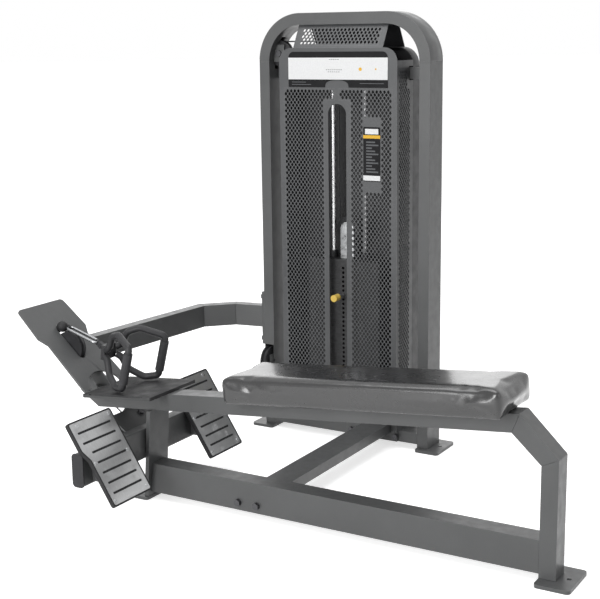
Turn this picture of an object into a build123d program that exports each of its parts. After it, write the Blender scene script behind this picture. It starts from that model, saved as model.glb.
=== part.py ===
from build123d import *
import math
import os

# Seated low-row machine: a long bench on a single spine, a weight tower beside it,
# a guard plate with the cable exit pulley in front, and two footplates.
# Frame: +X runs along the bench to its rear end, +Y points from the bench to the
# tower, +Z is up. The origin is on the floor under the middle of the machine.
# Every size is in millimetres.

# ---- layout --------------------------------------------------------------------
BENCH_Y = -282.0          # middle of the bench spine
TOWER_X = -215.0          # middle of the weight tower
TOWER_Y = 552.0           # mid-plane of the tower hoop and of the cable in the tower
WALL = 3.0                # wall of every rectangular tube
FOOT_T = 10.0             # thickness of the floor plates

# ---- bench frame ---------------------------------------------------------------
BEAM_W = 66.0             # width of the spine tubes across the bench
BASE_BOTTOM = 22.0
BASE_TOP = 117.0
UPRIGHT_IN = 819.0
UPRIGHT_OUT = 867.0
ELBOW_LOW_IN = (UPRIGHT_IN, 322.0)
ELBOW_LOW_OUT = (UPRIGHT_OUT, 345.0)
ELBOW_TOP_IN = (735.0, 399.5)
ELBOW_TOP_OUT = (756.0, 454.5)
SEAT_SLOPE = 5.2          # degrees, rising to the rear
SEAT_H = 53.0             # height of the seat beam across its own length
SEAT_LEFT_LOW_X = -660.0
SEAT_LEFT_TOP_X = -732.0

# ---- front post and footrests --------------------------------------------------
POST_FACE_X = -453.0      # rear face of the post at the height of the base beam
POST_T = 14.0
POST_W = 100.0
POST_LEAN = 4.0           # degrees, the top leans to the rear
CROSS_T = 40.0
CROSS_X = -486.0
CROSS_LOW = 136.0
CROSS_TOP = 231.0
CROSS_HALF = 342.0
PLATE_TOP = (-510.0, 326.0)      # upper edge of the footplate's front face, X and Z
PLATE_LOW = (-357.5, 91.5)       # lower edge
PLATE_INNER = 159.0              # from the bench line to the inner edge
PLATE_OUTER = 355.0
PLATE_OUTER_LOW = 338.0
PLATE_T = 9.0
TREAD_T = 3.0

# ---- tray, guard and boom ------------------------------------------------------
TRAY_X = (-650.0, -385.0)
TRAY_W = 240.0
TRAY_T = 10.0
GUARD_START = (-915.0, 575.0)    # top edge of the guard's front face, X and Z
GUARD_ANGLE = 41.7               # degrees below the horizontal
GUARD_T = 6.0
GUARD_LENGTH = 352.0
CHEEK_T = 6.0
CHEEK_OUT = 33.0
BOOM_H = 79.0
BOOM_T = 40.0
BOOM_LOW = 376.0

# ---- pulleys and cable ---------------------------------------------------------
CABLE_D = 5.0
CABLE_R = 48.0            # from a pulley's axis to the middle of the cable
PULLEY_OUT = 52.0
PULLEY_W = 22.0
AXLE_D = 12.0
RUN_FIT = 0.05            # radial clearance of a turning or sliding fit
EXIT_PULLEY = (-790.2, 447.0)        # X and Z of the pulley behind the guard
TURN_PULLEY = (-564.0, -234.0, 233.5)
CABLE_END = (-823.0, 511.0)          # X and Z of the ball on the cable's end
TOWER_CABLE_R = 40.0      # the same radius on the three smaller tower pulleys
TOWER_PULLEY_OUT = 44.0
TOP_PULLEY_Z = 1364.0
FLOAT_PULLEY_Z = 757.0

# ---- tower ---------------------------------------------------------------------
HOOP_HALF = 330.0
HOOP_TOP = 1500.0
HOOP_T = 40.0
HOOP_D = 100.0
HOOP_RADIUS = 165.0
TOWER_BASE = (22.0, 62.0)
SHROUD_HALF = 227.0
SHROUD_FRONT_Y = 467.0
SHROUD_TOP = 1383.0
SHROUD_LOW = 62.0
FRONT_LOW = 104.0         # the front sheet ends above the cross brace
SHEET = 3.0
SLOT_HALF = 35.0
SLOT_TOP = 1196.0
SIDE_BACK_Y = 588.0
REAR_BACK_Y = 637.0
REAR_DEPTH = 48.6
CAP_HALF = 172.0
CAP_TOP = 1459.5
CAP_LIP = 14.0            # fold that stands behind the front sheet's upper edge
CAP_RIDGE_Y = (512.0, 592.0)

# ---- weight stack --------------------------------------------------------------
ROD_D = 16.0
ROD_OFFSET = 62.0
PITCH = 16.0
PLATE_THICK = 15.6
STACK_W = 280.0
STACK_D = 96.0
STACK_BOTTOM = 135.0
RESTING = 24
LIFTED = 7
HEAD_T = 22.0
PIN_D = 10.0
STEM_D = 24.0
BAR_Z = (1277.0, 1316.0)  # cross bar that holds the upper ends of the guide rods
BAR_D = 60.0
BAR_LUG = 20.0

# ---- pad and handles -----------------------------------------------------------
PAD_X = (-136.0, 744.0)
PAD_W = 236.0
PAD_T = 70.0
BOARD_T = 12.0
GRIP_D = 28.0
RAIL_D = 22.0

os.makedirs("parts", exist_ok=True)




def save(builder, name):
    """Label a finished piece and write it as its own file."""
    builder.part.label = name
    export_step(builder.part, "parts/" + name + ".step")


def side_plane(y=BENCH_Y):
    """Vertical plane along the bench at depth y: local X is X, local Y is Z, normal is -Y."""
    return Plane(origin=(0, y, 0), x_dir=(1, 0, 0), z_dir=(0, -1, 0))


def block(x0, x1, y0, y1, z0, z1, mode=Mode.ADD):
    """A box given by its limits."""
    with Locations(((x0 + x1) / 2, (y0 + y1) / 2, (z0 + z1) / 2)):
        Box(x1 - x0, y1 - y0, z1 - z0, mode=mode)


def rod(start, direction, diameter, length, mode=Mode.ADD):
    """A round bar from a start point along a direction."""
    with BuildSketch(Plane(origin=start, z_dir=direction)) as section:
        Circle(diameter / 2)
    extrude(section.sketch, amount=length, mode=mode)


def side_prism(points, y, half, mode=Mode.ADD):
    """A plate cut to an X-Z outline, centred on depth y."""
    with BuildSketch(side_plane(y)) as outline:
        Polygon(*points, align=None)
    extrude(outline.sketch, amount=half, both=True, mode=mode)


def plan_prism(points, z0, z1, mode=Mode.ADD):
    """A piece cut to an X-Y outline between two heights."""
    with BuildSketch(Plane.XY.offset(z0)) as outline:
        Polygon(*points, align=None)
    extrude(outline.sketch, amount=z1 - z0, mode=mode)


def between(a, b, distance):
    """The point at a distance from a on the way to b."""
    share = distance / math.dist(a, b)
    return (a[0] + (b[0] - a[0]) * share, a[1] + (b[1] - a[1]) * share)


def mitred_tube(in_a, out_a, out_b, in_b):
    """A straight open spine tube, its two ends cut along the lines from in to out."""
    side_prism([in_a, out_a, out_b, in_b], BENCH_Y, BEAM_W / 2)
    inner = [
        between(in_a, out_a, WALL),
        between(out_a, in_a, WALL),
        between(out_b, in_b, WALL),
        between(in_b, out_b, WALL),
    ]
    side_prism(inner, BENCH_Y, BEAM_W / 2 - WALL, Mode.SUBTRACT)


def seat_z(x, lift=0.0):
    """Height at x of the line `lift` above the underside of the seat beam."""
    slope = math.radians(SEAT_SLOPE)
    return ELBOW_TOP_IN[1] + (x - ELBOW_TOP_IN[0]) * math.tan(slope) + lift / math.cos(slope)


def seat_plane(x, lift):
    """Plane on the sloping seat beam: local X along it, local Y across, normal up."""
    slope = math.radians(SEAT_SLOPE)
    return Plane(
        origin=(x, BENCH_Y, seat_z(x, lift)),
        x_dir=(math.cos(slope), 0, math.sin(slope)),
        z_dir=(-math.sin(slope), 0, math.cos(slope)),
    )


def pulley(centre, axis, cable_r, out_r):
    """A grooved wheel turning about `axis` through `centre`."""
    bore = AXLE_D / 2 + RUN_FIT
    floor = cable_r - CABLE_D / 2 - 0.3
    half = PULLEY_W / 2
    rim = [(bore, -half), (out_r, -half), (out_r, -half + 4), (floor, -CABLE_D / 2 - 0.5)]
    rim += [(r, -w) for r, w in reversed(rim)]
    wheel = Plane(origin=centre, z_dir=axis)
    with BuildSketch(Plane(origin=centre, x_dir=wheel.x_dir, z_dir=-wheel.y_dir)) as profile:
        Polygon(*rim, align=None)
    revolve(profile.sketch, axis=Axis(centre, axis))


def bolt(centre, direction, size=20.0):
    """A hexagon head on a washer, standing on a surface."""
    rod(centre, direction, size * 1.2, 2)
    top = [centre[i] + 2 * direction[i] for i in range(3)]
    with BuildSketch(Plane(origin=top, z_dir=direction)) as head:
        RegularPolygon(size / math.sqrt(3), 6)
    extrude(head.sketch, amount=8)


# ================================ cable path ====================================
# The cable leaves the ball, wraps the exit pulley, falls through the seat beam's
# front end, turns towards the tower, climbs inside the left leg of the hoop,
# crosses over two upper pulleys and carries the stack on a floating pulley.
reach_x = TURN_PULLEY[0] - EXIT_PULLEY[0]
reach_z = EXIT_PULLEY[1] - TURN_PULLEY[2]
FALL = math.atan2(reach_z, reach_x) - math.asin(CABLE_R / math.hypot(reach_x, reach_z))
fall_dir = Vector(math.cos(FALL), 0, -math.sin(FALL))
fall_up = Vector(math.sin(FALL), 0, math.cos(FALL))
exit_centre = Vector(EXIT_PULLEY[0], BENCH_Y, EXIT_PULLEY[1])
turn_centre = Vector(*TURN_PULLEY)
leg_x = TURN_PULLEY[0] + CABLE_R * math.cos(FALL)
leg_low = TURN_PULLEY[2] - CABLE_R * math.sin(FALL)
leg_centre = Vector(leg_x, TOWER_Y - CABLE_R, leg_low + CABLE_R)
hoop_centre = Vector(leg_x + TOWER_CABLE_R, TOWER_Y, TOP_PULLEY_Z)
top_centre = Vector(TOWER_X - 2 * TOWER_CABLE_R, TOWER_Y, TOP_PULLEY_Z)
float_centre = Vector(TOWER_X, TOWER_Y, FLOAT_PULLEY_Z)
ball = Vector(CABLE_END[0], BENCH_Y, CABLE_END[1])
anchor = Vector(TOWER_X + TOWER_CABLE_R, TOWER_Y, BAR_Z[0] - 30)

ball_dir = ball - exit_centre
ball_angle = math.atan2(ball_dir.Z, ball_dir.X)
meet_angle = ball_angle + math.acos(CABLE_R / ball_dir.length)
X_DIR = Vector(1, 0, 0)
Y_DIR = Vector(0, 1, 0)
Z_DIR = Vector(0, 0, 1)


def arc_points(centre, radius, first, last):
    """Start, middle and end of the cable's arc on a pulley."""
    middle = (first + last).normalized()
    return centre + first * radius, centre + middle * radius, centre + last * radius


meet_dir = Vector(math.cos(meet_angle), 0, math.sin(meet_angle))
arcs = [
    arc_points(exit_centre, CABLE_R, meet_dir, -fall_up),
    arc_points(turn_centre, CABLE_R, -Y_DIR, fall_dir),
    arc_points(leg_centre, CABLE_R, -Z_DIR, Y_DIR),
    arc_points(hoop_centre, TOWER_CABLE_R, -X_DIR, Z_DIR),
    arc_points(top_centre, TOWER_CABLE_R, Z_DIR, X_DIR),
    (
        float_centre - X_DIR * TOWER_CABLE_R,
        float_centre - Z_DIR * TOWER_CABLE_R,
        float_centre + X_DIR * TOWER_CABLE_R,
    ),
]

with BuildPart() as pull_cable:
    with BuildLine() as route:
        here = ball + (arcs[0][0] - ball).normalized() * 18
        for first, middle, last in arcs:
            Line(here, first)
            ThreePointArc(first, middle, last)
            here = last
        Line(here, anchor)
    cable_route = route.wires()[0]
    with BuildSketch(Plane(origin=cable_route @ 0, z_dir=cable_route % 0)) as section:
        Circle(CABLE_D / 2)
    sweep(section.sketch, path=cable_route)
save(pull_cable, "pull_cable")
straight = math.pi * (CABLE_D / 2) ** 2 * cable_route.length
print("cable length", round(cable_route.length), "radii", CABLE_R, TOWER_CABLE_R)
print("cable volume", round(pull_cable.part.volume), "section x length", round(straight))


def cable_x(z):
    """X of the falling cable at height z."""
    tangent = exit_centre - fall_up * CABLE_R
    return tangent.X + (tangent.Z - z) / math.tan(FALL)


# ================================ bench frame ===================================
seat_low = (SEAT_LEFT_LOW_X, seat_z(SEAT_LEFT_LOW_X))
seat_top = (SEAT_LEFT_TOP_X, seat_z(SEAT_LEFT_TOP_X, SEAT_H))
with BuildPart() as seat_beam:
    mitred_tube(seat_low, seat_top, ELBOW_TOP_OUT, ELBOW_TOP_IN)
    # slots in the top and bottom walls for the cable
    top_hole = cable_x(seat_z(-690, SEAT_H))
    low_hole = cable_x(seat_z(-624))
    high = seat_z(top_hole, SEAT_H)
    low = seat_z(low_hole)
    block(top_hole - 26, top_hole + 26, BENCH_Y - 8, BENCH_Y + 8, high - 6, high + 6, Mode.SUBTRACT)
    block(low_hole - 26, low_hole + 26, BENCH_Y - 8, BENCH_Y + 8, low - 6, low + 6, Mode.SUBTRACT)
save(seat_beam, "seat_beam")

with BuildPart() as rear_elbow:
    mitred_tube(ELBOW_TOP_IN, ELBOW_TOP_OUT, ELBOW_LOW_OUT, ELBOW_LOW_IN)
save(rear_elbow, "rear_elbow")

with BuildPart() as rear_upright:
    mitred_tube(ELBOW_LOW_IN, ELBOW_LOW_OUT, (UPRIGHT_OUT, FOOT_T), (UPRIGHT_IN, FOOT_T))
save(rear_upright, "rear_upright")


def post_x(z):
    """X of the post's rear face at height z."""
    return POST_FACE_X + (z - BASE_TOP) * math.tan(math.radians(POST_LEAN))


with BuildPart() as base_beam:
    mitred_tube(
        (post_x(BASE_BOTTOM), BASE_BOTTOM),
        (post_x(BASE_TOP), BASE_TOP),
        (UPRIGHT_IN, BASE_TOP),
        (UPRIGHT_IN, BASE_BOTTOM),
    )
save(base_beam, "base_beam")

post_head = post_x(seat_z(POST_FACE_X))
with BuildPart() as front_post:
    outline = [
        (post_x(FOOT_T) - POST_T, FOOT_T),
        (post_x(FOOT_T), FOOT_T),
        (post_head, seat_z(post_head)),
        (post_head - POST_T, seat_z(post_head - POST_T)),
    ]
    side_prism(outline, BENCH_Y, POST_W / 2)
save(front_post, "front_post")

with BuildPart() as floor_plates:
    with BuildSketch(Plane.XY):
        # rear upright, front post, then the two legs of the tower
        with Locations((UPRIGHT_IN + 50, BENCH_Y)):
            RectangleRounded(100, 152, 12)
        with Locations((-511, BENCH_Y)):
            RectangleRounded(104, 116, 12)
        with Locations((TOWER_X + HOOP_HALF + 4, TOWER_Y), (TOWER_X - HOOP_HALF - 4, TOWER_Y)):
            RectangleRounded(88, 145, 10)
        with Locations((UPRIGHT_OUT + 26, BENCH_Y), (-540, BENCH_Y)):
            Circle(7, mode=Mode.SUBTRACT)
        for side in (-1, 1):
            with Locations((TOWER_X + side * (HOOP_HALF + 26), TOWER_Y)):
                Circle(6.5, mode=Mode.SUBTRACT)
    extrude(amount=FOOT_T)
save(floor_plates, "floor_plates")

# ================================ footrests =====================================
with BuildPart() as cross_tube:
    with BuildSketch(side_plane()):
        with Locations((CROSS_X, (CROSS_LOW + CROSS_TOP) / 2)):
            RectangleRounded(CROSS_T, CROSS_TOP - CROSS_LOW, 5)
            RectangleRounded(CROSS_T - 2 * WALL, CROSS_TOP - CROSS_LOW - 2 * WALL, 3,
                             mode=Mode.SUBTRACT)
    extrude(amount=CROSS_HALF, both=True)
save(cross_tube, "footrest_cross_tube")

with BuildPart() as end_caps:
    for side in (-1, 1):
        with BuildSketch(side_plane(BENCH_Y + side * (CROSS_HALF + 2))):
            with Locations((CROSS_X, (CROSS_LOW + CROSS_TOP) / 2)):
                RectangleRounded(CROSS_T + 2, CROSS_TOP - CROSS_LOW + 8, 12)
        extrude(amount=2, both=True)
save(end_caps, "cross_tube_end_caps")

plate_run = math.dist(PLATE_TOP, PLATE_LOW)
plate_down = Vector(PLATE_LOW[0] - PLATE_TOP[0], 0, PLATE_LOW[1] - PLATE_TOP[1]).normalized()
plate_out = Vector(-plate_down.Z, 0, plate_down.X)


def footplate_plane(depth=0.0):
    """Plane `depth` behind the footplates' faces: local X is Y from the bench line."""
    start = Vector(PLATE_TOP[0], BENCH_Y, PLATE_TOP[1]) - plate_out * depth
    return Plane(origin=start, x_dir=(0, 1, 0), z_dir=plate_out)


def footplate_face(side, depth, inset, radius):
    """A footplate's stepped outline on the plane at `depth`, drawn in by `inset`."""
    outer = PLATE_OUTER - inset
    outer_low = PLATE_OUTER_LOW - inset
    points = [
        (PLATE_INNER + inset, inset),
        (outer, inset),
        (outer, 0.33 * plate_run),
        (outer_low, 0.45 * plate_run),
        (outer_low, plate_run - inset),
        (PLATE_INNER + inset, plate_run - inset),
    ]
    # on this plane the local Y axis points up the plate
    with BuildSketch(footplate_plane(depth)) as face:
        Polygon(*[(side * across, -down) for across, down in points], align=None)
        fillet(face.vertices(), radius)
    return face.sketch


GROOVES = 7
for side, hand in ((-1, "near"), (1, "far")):
    with BuildPart() as backing:
        extrude(footplate_face(side, TREAD_T + PLATE_T, 0, 9), amount=PLATE_T + TREAD_T)
        extrude(footplate_face(side, TREAD_T, 5, 6), amount=TREAD_T, mode=Mode.SUBTRACT)
    save(backing, hand + "_footplate_backing")

with BuildPart() as treads:
    for side in (-1, 1):
        extrude(footplate_face(side, TREAD_T, 5.2, 6), amount=TREAD_T - 0.4)
    # slots across each tread, through which the black backing shows
    groove_plane = footplate_plane(0.4)
    for i in range(GROOVES):
        down = plate_run * (0.14 + 0.72 * i / (GROOVES - 1))
        outer = PLATE_OUTER if down < 0.38 * plate_run else PLATE_OUTER_LOW
        for side in (-1, 1):
            with BuildSketch(groove_plane) as groove:
                with Locations((side * (PLATE_INNER + outer) / 2, -down)):
                    SlotOverall(outer - PLATE_INNER - 44, 7)
            extrude(groove.sketch, amount=-TREAD_T, mode=Mode.SUBTRACT)
save(treads, "footplate_treads")

with BuildPart() as screws:
    screw_plane = footplate_plane(0.4)
    for side in (-1, 1):
        for across in (PLATE_INNER + 16, PLATE_OUTER_LOW - 16):
            for share in (0.06, 0.5, 0.94):
                with BuildSketch(screw_plane) as head:
                    with Locations((side * across, -share * plate_run)):
                        Circle(5.5)
                        RegularPolygon(2.6, 6, mode=Mode.SUBTRACT)
                extrude(head.sketch, amount=2.2)
save(screws, "footplate_screws")


def plate_back_x(z):
    """X of the back of the footplates at height z."""
    start = Vector(PLATE_TOP[0], 0, PLATE_TOP[1]) - plate_out * (PLATE_T + TREAD_T)
    return start.X + (start.Z - z) * plate_down.X / -plate_down.Z


with BuildPart() as ribs:
    tube_face = CROSS_X + CROSS_T / 2
    outline = [
        (tube_face, CROSS_LOW + 8),
        (tube_face, CROSS_TOP - 8),
        (plate_back_x(CROSS_TOP - 8), CROSS_TOP - 8),
        (plate_back_x(CROSS_LOW + 8), CROSS_LOW + 8),
    ]
    for across in (-300, -200, 200, 300):
        side_prism(outline, BENCH_Y + across, 4)
save(ribs, "footplate_ribs")

# ================================ tray and pad ==================================
with BuildPart() as tray:
    length = (TRAY_X[1] - TRAY_X[0]) / math.cos(math.radians(SEAT_SLOPE))
    with BuildSketch(seat_plane((TRAY_X[0] + TRAY_X[1]) / 2, SEAT_H)):
        RectangleRounded(length, TRAY_W, 6)
    extrude(amount=TRAY_T)
    # shallow step along the front edge
    with BuildSketch(seat_plane(TRAY_X[0] + 130, SEAT_H + TRAY_T)):
        with Locations((0, -TRAY_W / 2 + 4)):
            Rectangle(length - 60, 8)
    extrude(amount=-2, mode=Mode.SUBTRACT)
save(tray, "handle_tray")

pad_length = (PAD_X[1] - PAD_X[0]) / math.cos(math.radians(SEAT_SLOPE))
pad_middle = (PAD_X[0] + PAD_X[1]) / 2
with BuildPart() as board:
    with BuildSketch(seat_plane(pad_middle, SEAT_H)):
        RectangleRounded(pad_length - 16, PAD_W - 16, 10)
    extrude(amount=BOARD_T)
save(board, "seat_pad_board")

with BuildPart() as pad:
    with BuildSketch(seat_plane(pad_middle, SEAT_H + BOARD_T)):
        RectangleRounded(pad_length, PAD_W, 16)
    extrude(amount=PAD_T)
    pad_up = Axis((0, 0, 0), seat_plane(pad_middle, 0).z_dir)
    fillet(pad.faces().sort_by(pad_up)[-1].edges(), 14)
save(pad, "seat_pad")

# ================================ guard and boom ================================
guard = math.radians(GUARD_ANGLE)
guard_down = Vector(math.cos(guard), 0, -math.sin(guard))
guard_out = Vector(math.sin(guard), 0, math.cos(guard))
guard_face = Plane(
    origin=(GUARD_START[0], BENCH_Y, GUARD_START[1]),
    x_dir=guard_down,
    z_dir=guard_out,
)
pulley_along = (exit_centre - guard_face.origin).dot(guard_down)
with BuildPart() as guard_plate:
    edge = [(0, 106), (122, 115), (155, 96), (GUARD_LENGTH, 104)]
    with BuildSketch(guard_face) as outline:
        Polygon(*edge, *[(s, -w) for s, w in reversed(edge)], align=None)
        fillet(outline.vertices().sort_by(Axis.X)[0:2], 14)
        with Locations((pulley_along - 12, 0)):
            SlotOverall(142, 30, mode=Mode.SUBTRACT)
        # arch between the two lower legs
        with Locations((GUARD_LENGTH, 0)):
            Ellipse(GUARD_LENGTH - 298, 70, mode=Mode.SUBTRACT)
    extrude(outline.sketch, amount=-GUARD_T)
save(guard_plate, "guard_plate")


def guard_under(x):
    """Height at x of the guard plate's underside."""
    return GUARD_START[1] - (x - GUARD_START[0]) * math.tan(guard) - GUARD_T / math.cos(guard)


with BuildPart() as cheeks:
    shared_edge = [
        (-812, guard_under(-812)),
        (-668, guard_under(-668)),
        (-658, seat_z(-658, SEAT_H)),
        (-728, seat_z(-728, SEAT_H)),
    ]
    # the far cheek closes the boom's end, the near one is cut back
    far_edge = [(-800, BOOM_LOW - 5), (-838, BOOM_LOW), (-838, BOOM_LOW + BOOM_H)]
    near_edge = [(-783, BOOM_LOW - 3), (-810, BOOM_LOW + 36), (-824, BOOM_LOW + BOOM_H)]
    for side, edge in ((-1, near_edge), (1, far_edge)):
        side_prism(shared_edge + edge, BENCH_Y + side * (CHEEK_OUT - CHEEK_T / 2), CHEEK_T / 2)
    rod((EXIT_PULLEY[0], BENCH_Y - 60, EXIT_PULLEY[1]), (0, 1, 0), AXLE_D, 120, Mode.SUBTRACT)
save(cheeks, "guard_cheeks")


def offset_corner(before, corner, after):
    """The outer corner of the boom beside an inner corner of its plan."""
    first = (Vector(*corner) - Vector(*before)).normalized()
    second = (Vector(*after) - Vector(*corner)).normalized()
    side_1 = Vector(first.Y, -first.X)
    side_2 = Vector(second.Y, -second.X)
    shift = (side_1 + side_2) * (BOOM_T / (1 + side_1.dot(side_2)))
    return (corner[0] + shift.X, corner[1] + shift.Y)


def boom_tube(in_a, out_a, out_b, in_b):
    """A straight open length of the boom, cut along the lines from in to out."""
    plan_prism([in_a, out_a, out_b, in_b], BOOM_LOW, BOOM_LOW + BOOM_H)
    inner = [
        between(in_a, out_a, WALL),
        between(out_a, in_a, WALL),
        between(out_b, in_b, WALL),
        between(in_b, out_b, WALL),
    ]
    plan_prism(inner, BOOM_LOW + WALL, BOOM_LOW + BOOM_H - WALL, Mode.SUBTRACT)


leg_face = TOWER_X - HOOP_HALF
flange_face = leg_face - 10
boom_1 = (flange_face, 503.0)
boom_2 = (-660.0, 486.0)
boom_3 = (-744.0, 403.0)
boom_4 = (-798.0, BENCH_Y + CHEEK_OUT)
outer_2 = offset_corner(boom_1, boom_2, boom_3)
outer_3 = offset_corner(boom_2, boom_3, boom_4)
outer_1 = (flange_face, outer_2[1] + (outer_2[0] - flange_face) * (486.0 - 503.0) / (flange_face + 660))
outer_4 = (outer_3[0] - (outer_3[1] - boom_4[1]) * 54.0 / 652.0, boom_4[1])
with BuildPart() as boom_root:
    boom_tube(boom_1, outer_1, outer_2, boom_2)
    # flange bolted to the hoop's left leg
    block(flange_face, leg_face, TOWER_Y - 50, TOWER_Y + 50, 312, 508)
save(boom_root, "boom_root")
with BuildPart() as boom_bend:
    boom_tube(boom_2, outer_2, outer_3, boom_3)
save(boom_bend, "boom_bend")
with BuildPart() as boom_arm:
    boom_tube(boom_3, outer_3, outer_4, boom_4)
save(boom_arm, "boom_arm")

# ================================ tower frame ===================================
right_x = TOWER_X + HOOP_HALF
left_x = TOWER_X - HOOP_HALF
straight_top = HOOP_TOP - HOOP_RADIUS
hoop_y0 = TOWER_Y - HOOP_D / 2
hoop_y1 = TOWER_Y + HOOP_D / 2


def leg_tube(x0, x1):
    """An upright of the hoop."""
    block(x0, x1, hoop_y0, hoop_y1, FOOT_T, straight_top)
    block(x0 + WALL, x1 - WALL, hoop_y0 + WALL, hoop_y1 - WALL, FOOT_T, straight_top, Mode.SUBTRACT)


with BuildPart() as right_leg:
    leg_tube(right_x - HOOP_T, right_x)
save(right_leg, "hoop_right_leg")

with BuildPart() as left_leg:
    leg_tube(left_x, left_x + HOOP_T)
    # opening in the front wall for the lower pulley
    block(left_x + WALL, left_x + HOOP_T - WALL, hoop_y0 - 1, hoop_y0 + WALL + 1,
          leg_centre.Z - 58, leg_centre.Z + 58, Mode.SUBTRACT)
    # lugs that hold the pulley's axle
    for x0 in (left_x + WALL, left_x + HOOP_T - WALL - 4):
        block(x0, x0 + 4, hoop_y0 - 22, hoop_y0 + 40, leg_centre.Z - 24, leg_centre.Z + 24)
    rod((left_x - 5, leg_centre.Y, leg_centre.Z), (1, 0, 0), AXLE_D, 60, Mode.SUBTRACT)
    # opening in the inner wall for the upper pulley
    block(left_x + HOOP_T - WALL - 1, left_x + HOOP_T + 1, TOWER_Y - 13, TOWER_Y + 13,
          TOP_PULLEY_Z - 54, straight_top + 1, Mode.SUBTRACT)
save(left_leg, "hoop_left_leg")


def hoop_ring(shrink, mode):
    """The upper bend of the hoop; `shrink` moves every face inward by that much."""
    with BuildSketch(side_plane(TOWER_Y)) as ring:
        with Locations((TOWER_X, HOOP_TOP - 400)):
            RectangleRounded(2 * HOOP_HALF - 2 * shrink, 800 - 2 * shrink, HOOP_RADIUS - shrink)
        with Locations((TOWER_X, HOOP_TOP - 400)):
            RectangleRounded(
                2 * (HOOP_HALF - HOOP_T + shrink),
                800 - 2 * HOOP_T + 2 * shrink,
                HOOP_RADIUS - HOOP_T + shrink,
                mode=Mode.SUBTRACT,
            )
        with Locations((TOWER_X, straight_top - 500)):
            Rectangle(900, 1000, mode=Mode.SUBTRACT)
    extrude(ring.sketch, amount=HOOP_D / 2 - shrink, both=True, mode=mode)


with BuildPart() as hoop_top:
    hoop_ring(0, Mode.ADD)
    hoop_ring(WALL, Mode.SUBTRACT)
    block(left_x + 26, left_x + 110, TOWER_Y - 13, TOWER_Y + 13,
          straight_top - 1, TOP_PULLEY_Z + 56, Mode.SUBTRACT)
save(hoop_top, "hoop_top")

with BuildPart() as tower_base:
    base_0, base_1 = TOWER_BASE
    block(left_x + HOOP_T, right_x - HOOP_T, hoop_y0, hoop_y1, base_0, base_1)
    block(left_x + HOOP_T, right_x - HOOP_T, hoop_y0 + WALL, hoop_y1 - WALL,
          base_0 + WALL, base_1 - WALL, Mode.SUBTRACT)
save(tower_base, "tower_base_tube")

with BuildPart() as brace:
    front = BENCH_Y + BEAM_W / 2
    block(-109, -20, front, hoop_y0 - 8, 56, 90)
    block(-109 + WALL, -20 - WALL, front, hoop_y0 - 8, 56 + WALL, 90 - WALL, Mode.SUBTRACT)
    block(-198, 2, hoop_y0 - 8, hoop_y0, 22, 100)
save(brace, "cross_brace")

with BuildPart() as bolts:
    for x in (-132, -66):
        bolt((x, BENCH_Y - BEAM_W / 2, 47), (0, -1, 0), 19)
    for x in (-180, -135, -4):
        bolt((x, hoop_y0 - 8, 42), (0, -1, 0), 17)
    for y in (TOWER_Y - 30, TOWER_Y + 30):
        for z in (330, 487):
            bolt((flange_face, y, z), (-1, 0, 0), 20)
save(bolts, "frame_bolts")

rod_x = (TOWER_X - ROD_OFFSET, TOWER_X + ROD_OFFSET)
with BuildPart() as guide_rods:
    for x in rod_x:
        rod((x, TOWER_Y, TOWER_BASE[1]), (0, 0, 1), ROD_D, BAR_Z[0] - TOWER_BASE[1])
save(guide_rods, "guide_rods")

with BuildPart() as rod_bar:
    bar_y0 = TOWER_Y - BAR_D / 2
    bar_y1 = TOWER_Y + BAR_D / 2
    bar_half = SHROUD_HALF - SHEET - 2
    block(TOWER_X - bar_half, TOWER_X + bar_half, bar_y0, bar_y1, BAR_Z[0], BAR_Z[1])
    block(TOWER_X - bar_half + WALL, TOWER_X + bar_half - WALL, bar_y0 + WALL, bar_y1 - WALL,
          BAR_Z[0] + WALL, BAR_Z[1] - WALL, Mode.SUBTRACT)
    # flat lugs that pass through the cover's sides to the hoop's legs
    block(left_x + HOOP_T, TOWER_X - bar_half, bar_y1 - BAR_LUG, bar_y1, BAR_Z[0], BAR_Z[1])
    block(TOWER_X + bar_half, right_x - HOOP_T, bar_y1 - BAR_LUG, bar_y1, BAR_Z[0], BAR_Z[1])
    # holes for the cable and for its anchor
    for x in (top_centre.X + TOWER_CABLE_R, anchor.X):
        rod((x, TOWER_Y, BAR_Z[0] - 5), (0, 0, 1), 14, 60, Mode.SUBTRACT)
save(rod_bar, "rod_cross_bar")

with BuildPart() as hangers:
    # two lugs beside the pulley in the hoop's corner
    for side in (-1, 1):
        y = TOWER_Y + side * 15.5
        with BuildSketch(side_plane(y)) as lug:
            with Locations((hoop_centre.X, TOP_PULLEY_Z)):
                Rectangle(44, 60)
            with Locations((TOWER_X, HOOP_TOP - 400)):
                RectangleRounded(2 * (HOOP_HALF - HOOP_T), 800 - 2 * HOOP_T,
                                 HOOP_RADIUS - HOOP_T, mode=Mode.INTERSECT)
        extrude(lug.sketch, amount=2.5, both=True)
        # two lugs standing on the cross bar
        block(top_centre.X - 22, top_centre.X + 22, y - 2.5, y + 2.5, BAR_Z[1], TOP_PULLEY_Z + 22)
    for centre in (hoop_centre, top_centre):
        rod((centre.X, TOWER_Y - 40, centre.Z), (0, 1, 0), AXLE_D, 80, Mode.SUBTRACT)
save(hangers, "tower_pulley_lugs")

with BuildPart() as cable_anchor:
    rod(anchor, (0, 0, 1), 10, BAR_Z[1] - anchor.Z + 14)
    for z in (BAR_Z[0] - 10, BAR_Z[1]):
        with BuildSketch(Plane.XY.offset(z)) as nut:
            with Locations((anchor.X, anchor.Y)):
                RegularPolygon(11.5, 6)
        extrude(nut.sketch, amount=10)
    rod(anchor, (0, 0, 1), CABLE_D + 0.2, 12, Mode.SUBTRACT)
save(cable_anchor, "cable_anchor")

# ================================ shroud ========================================
shroud_x0 = TOWER_X - SHROUD_HALF
shroud_x1 = TOWER_X + SHROUD_HALF
front_y = SHROUD_FRONT_Y


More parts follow.
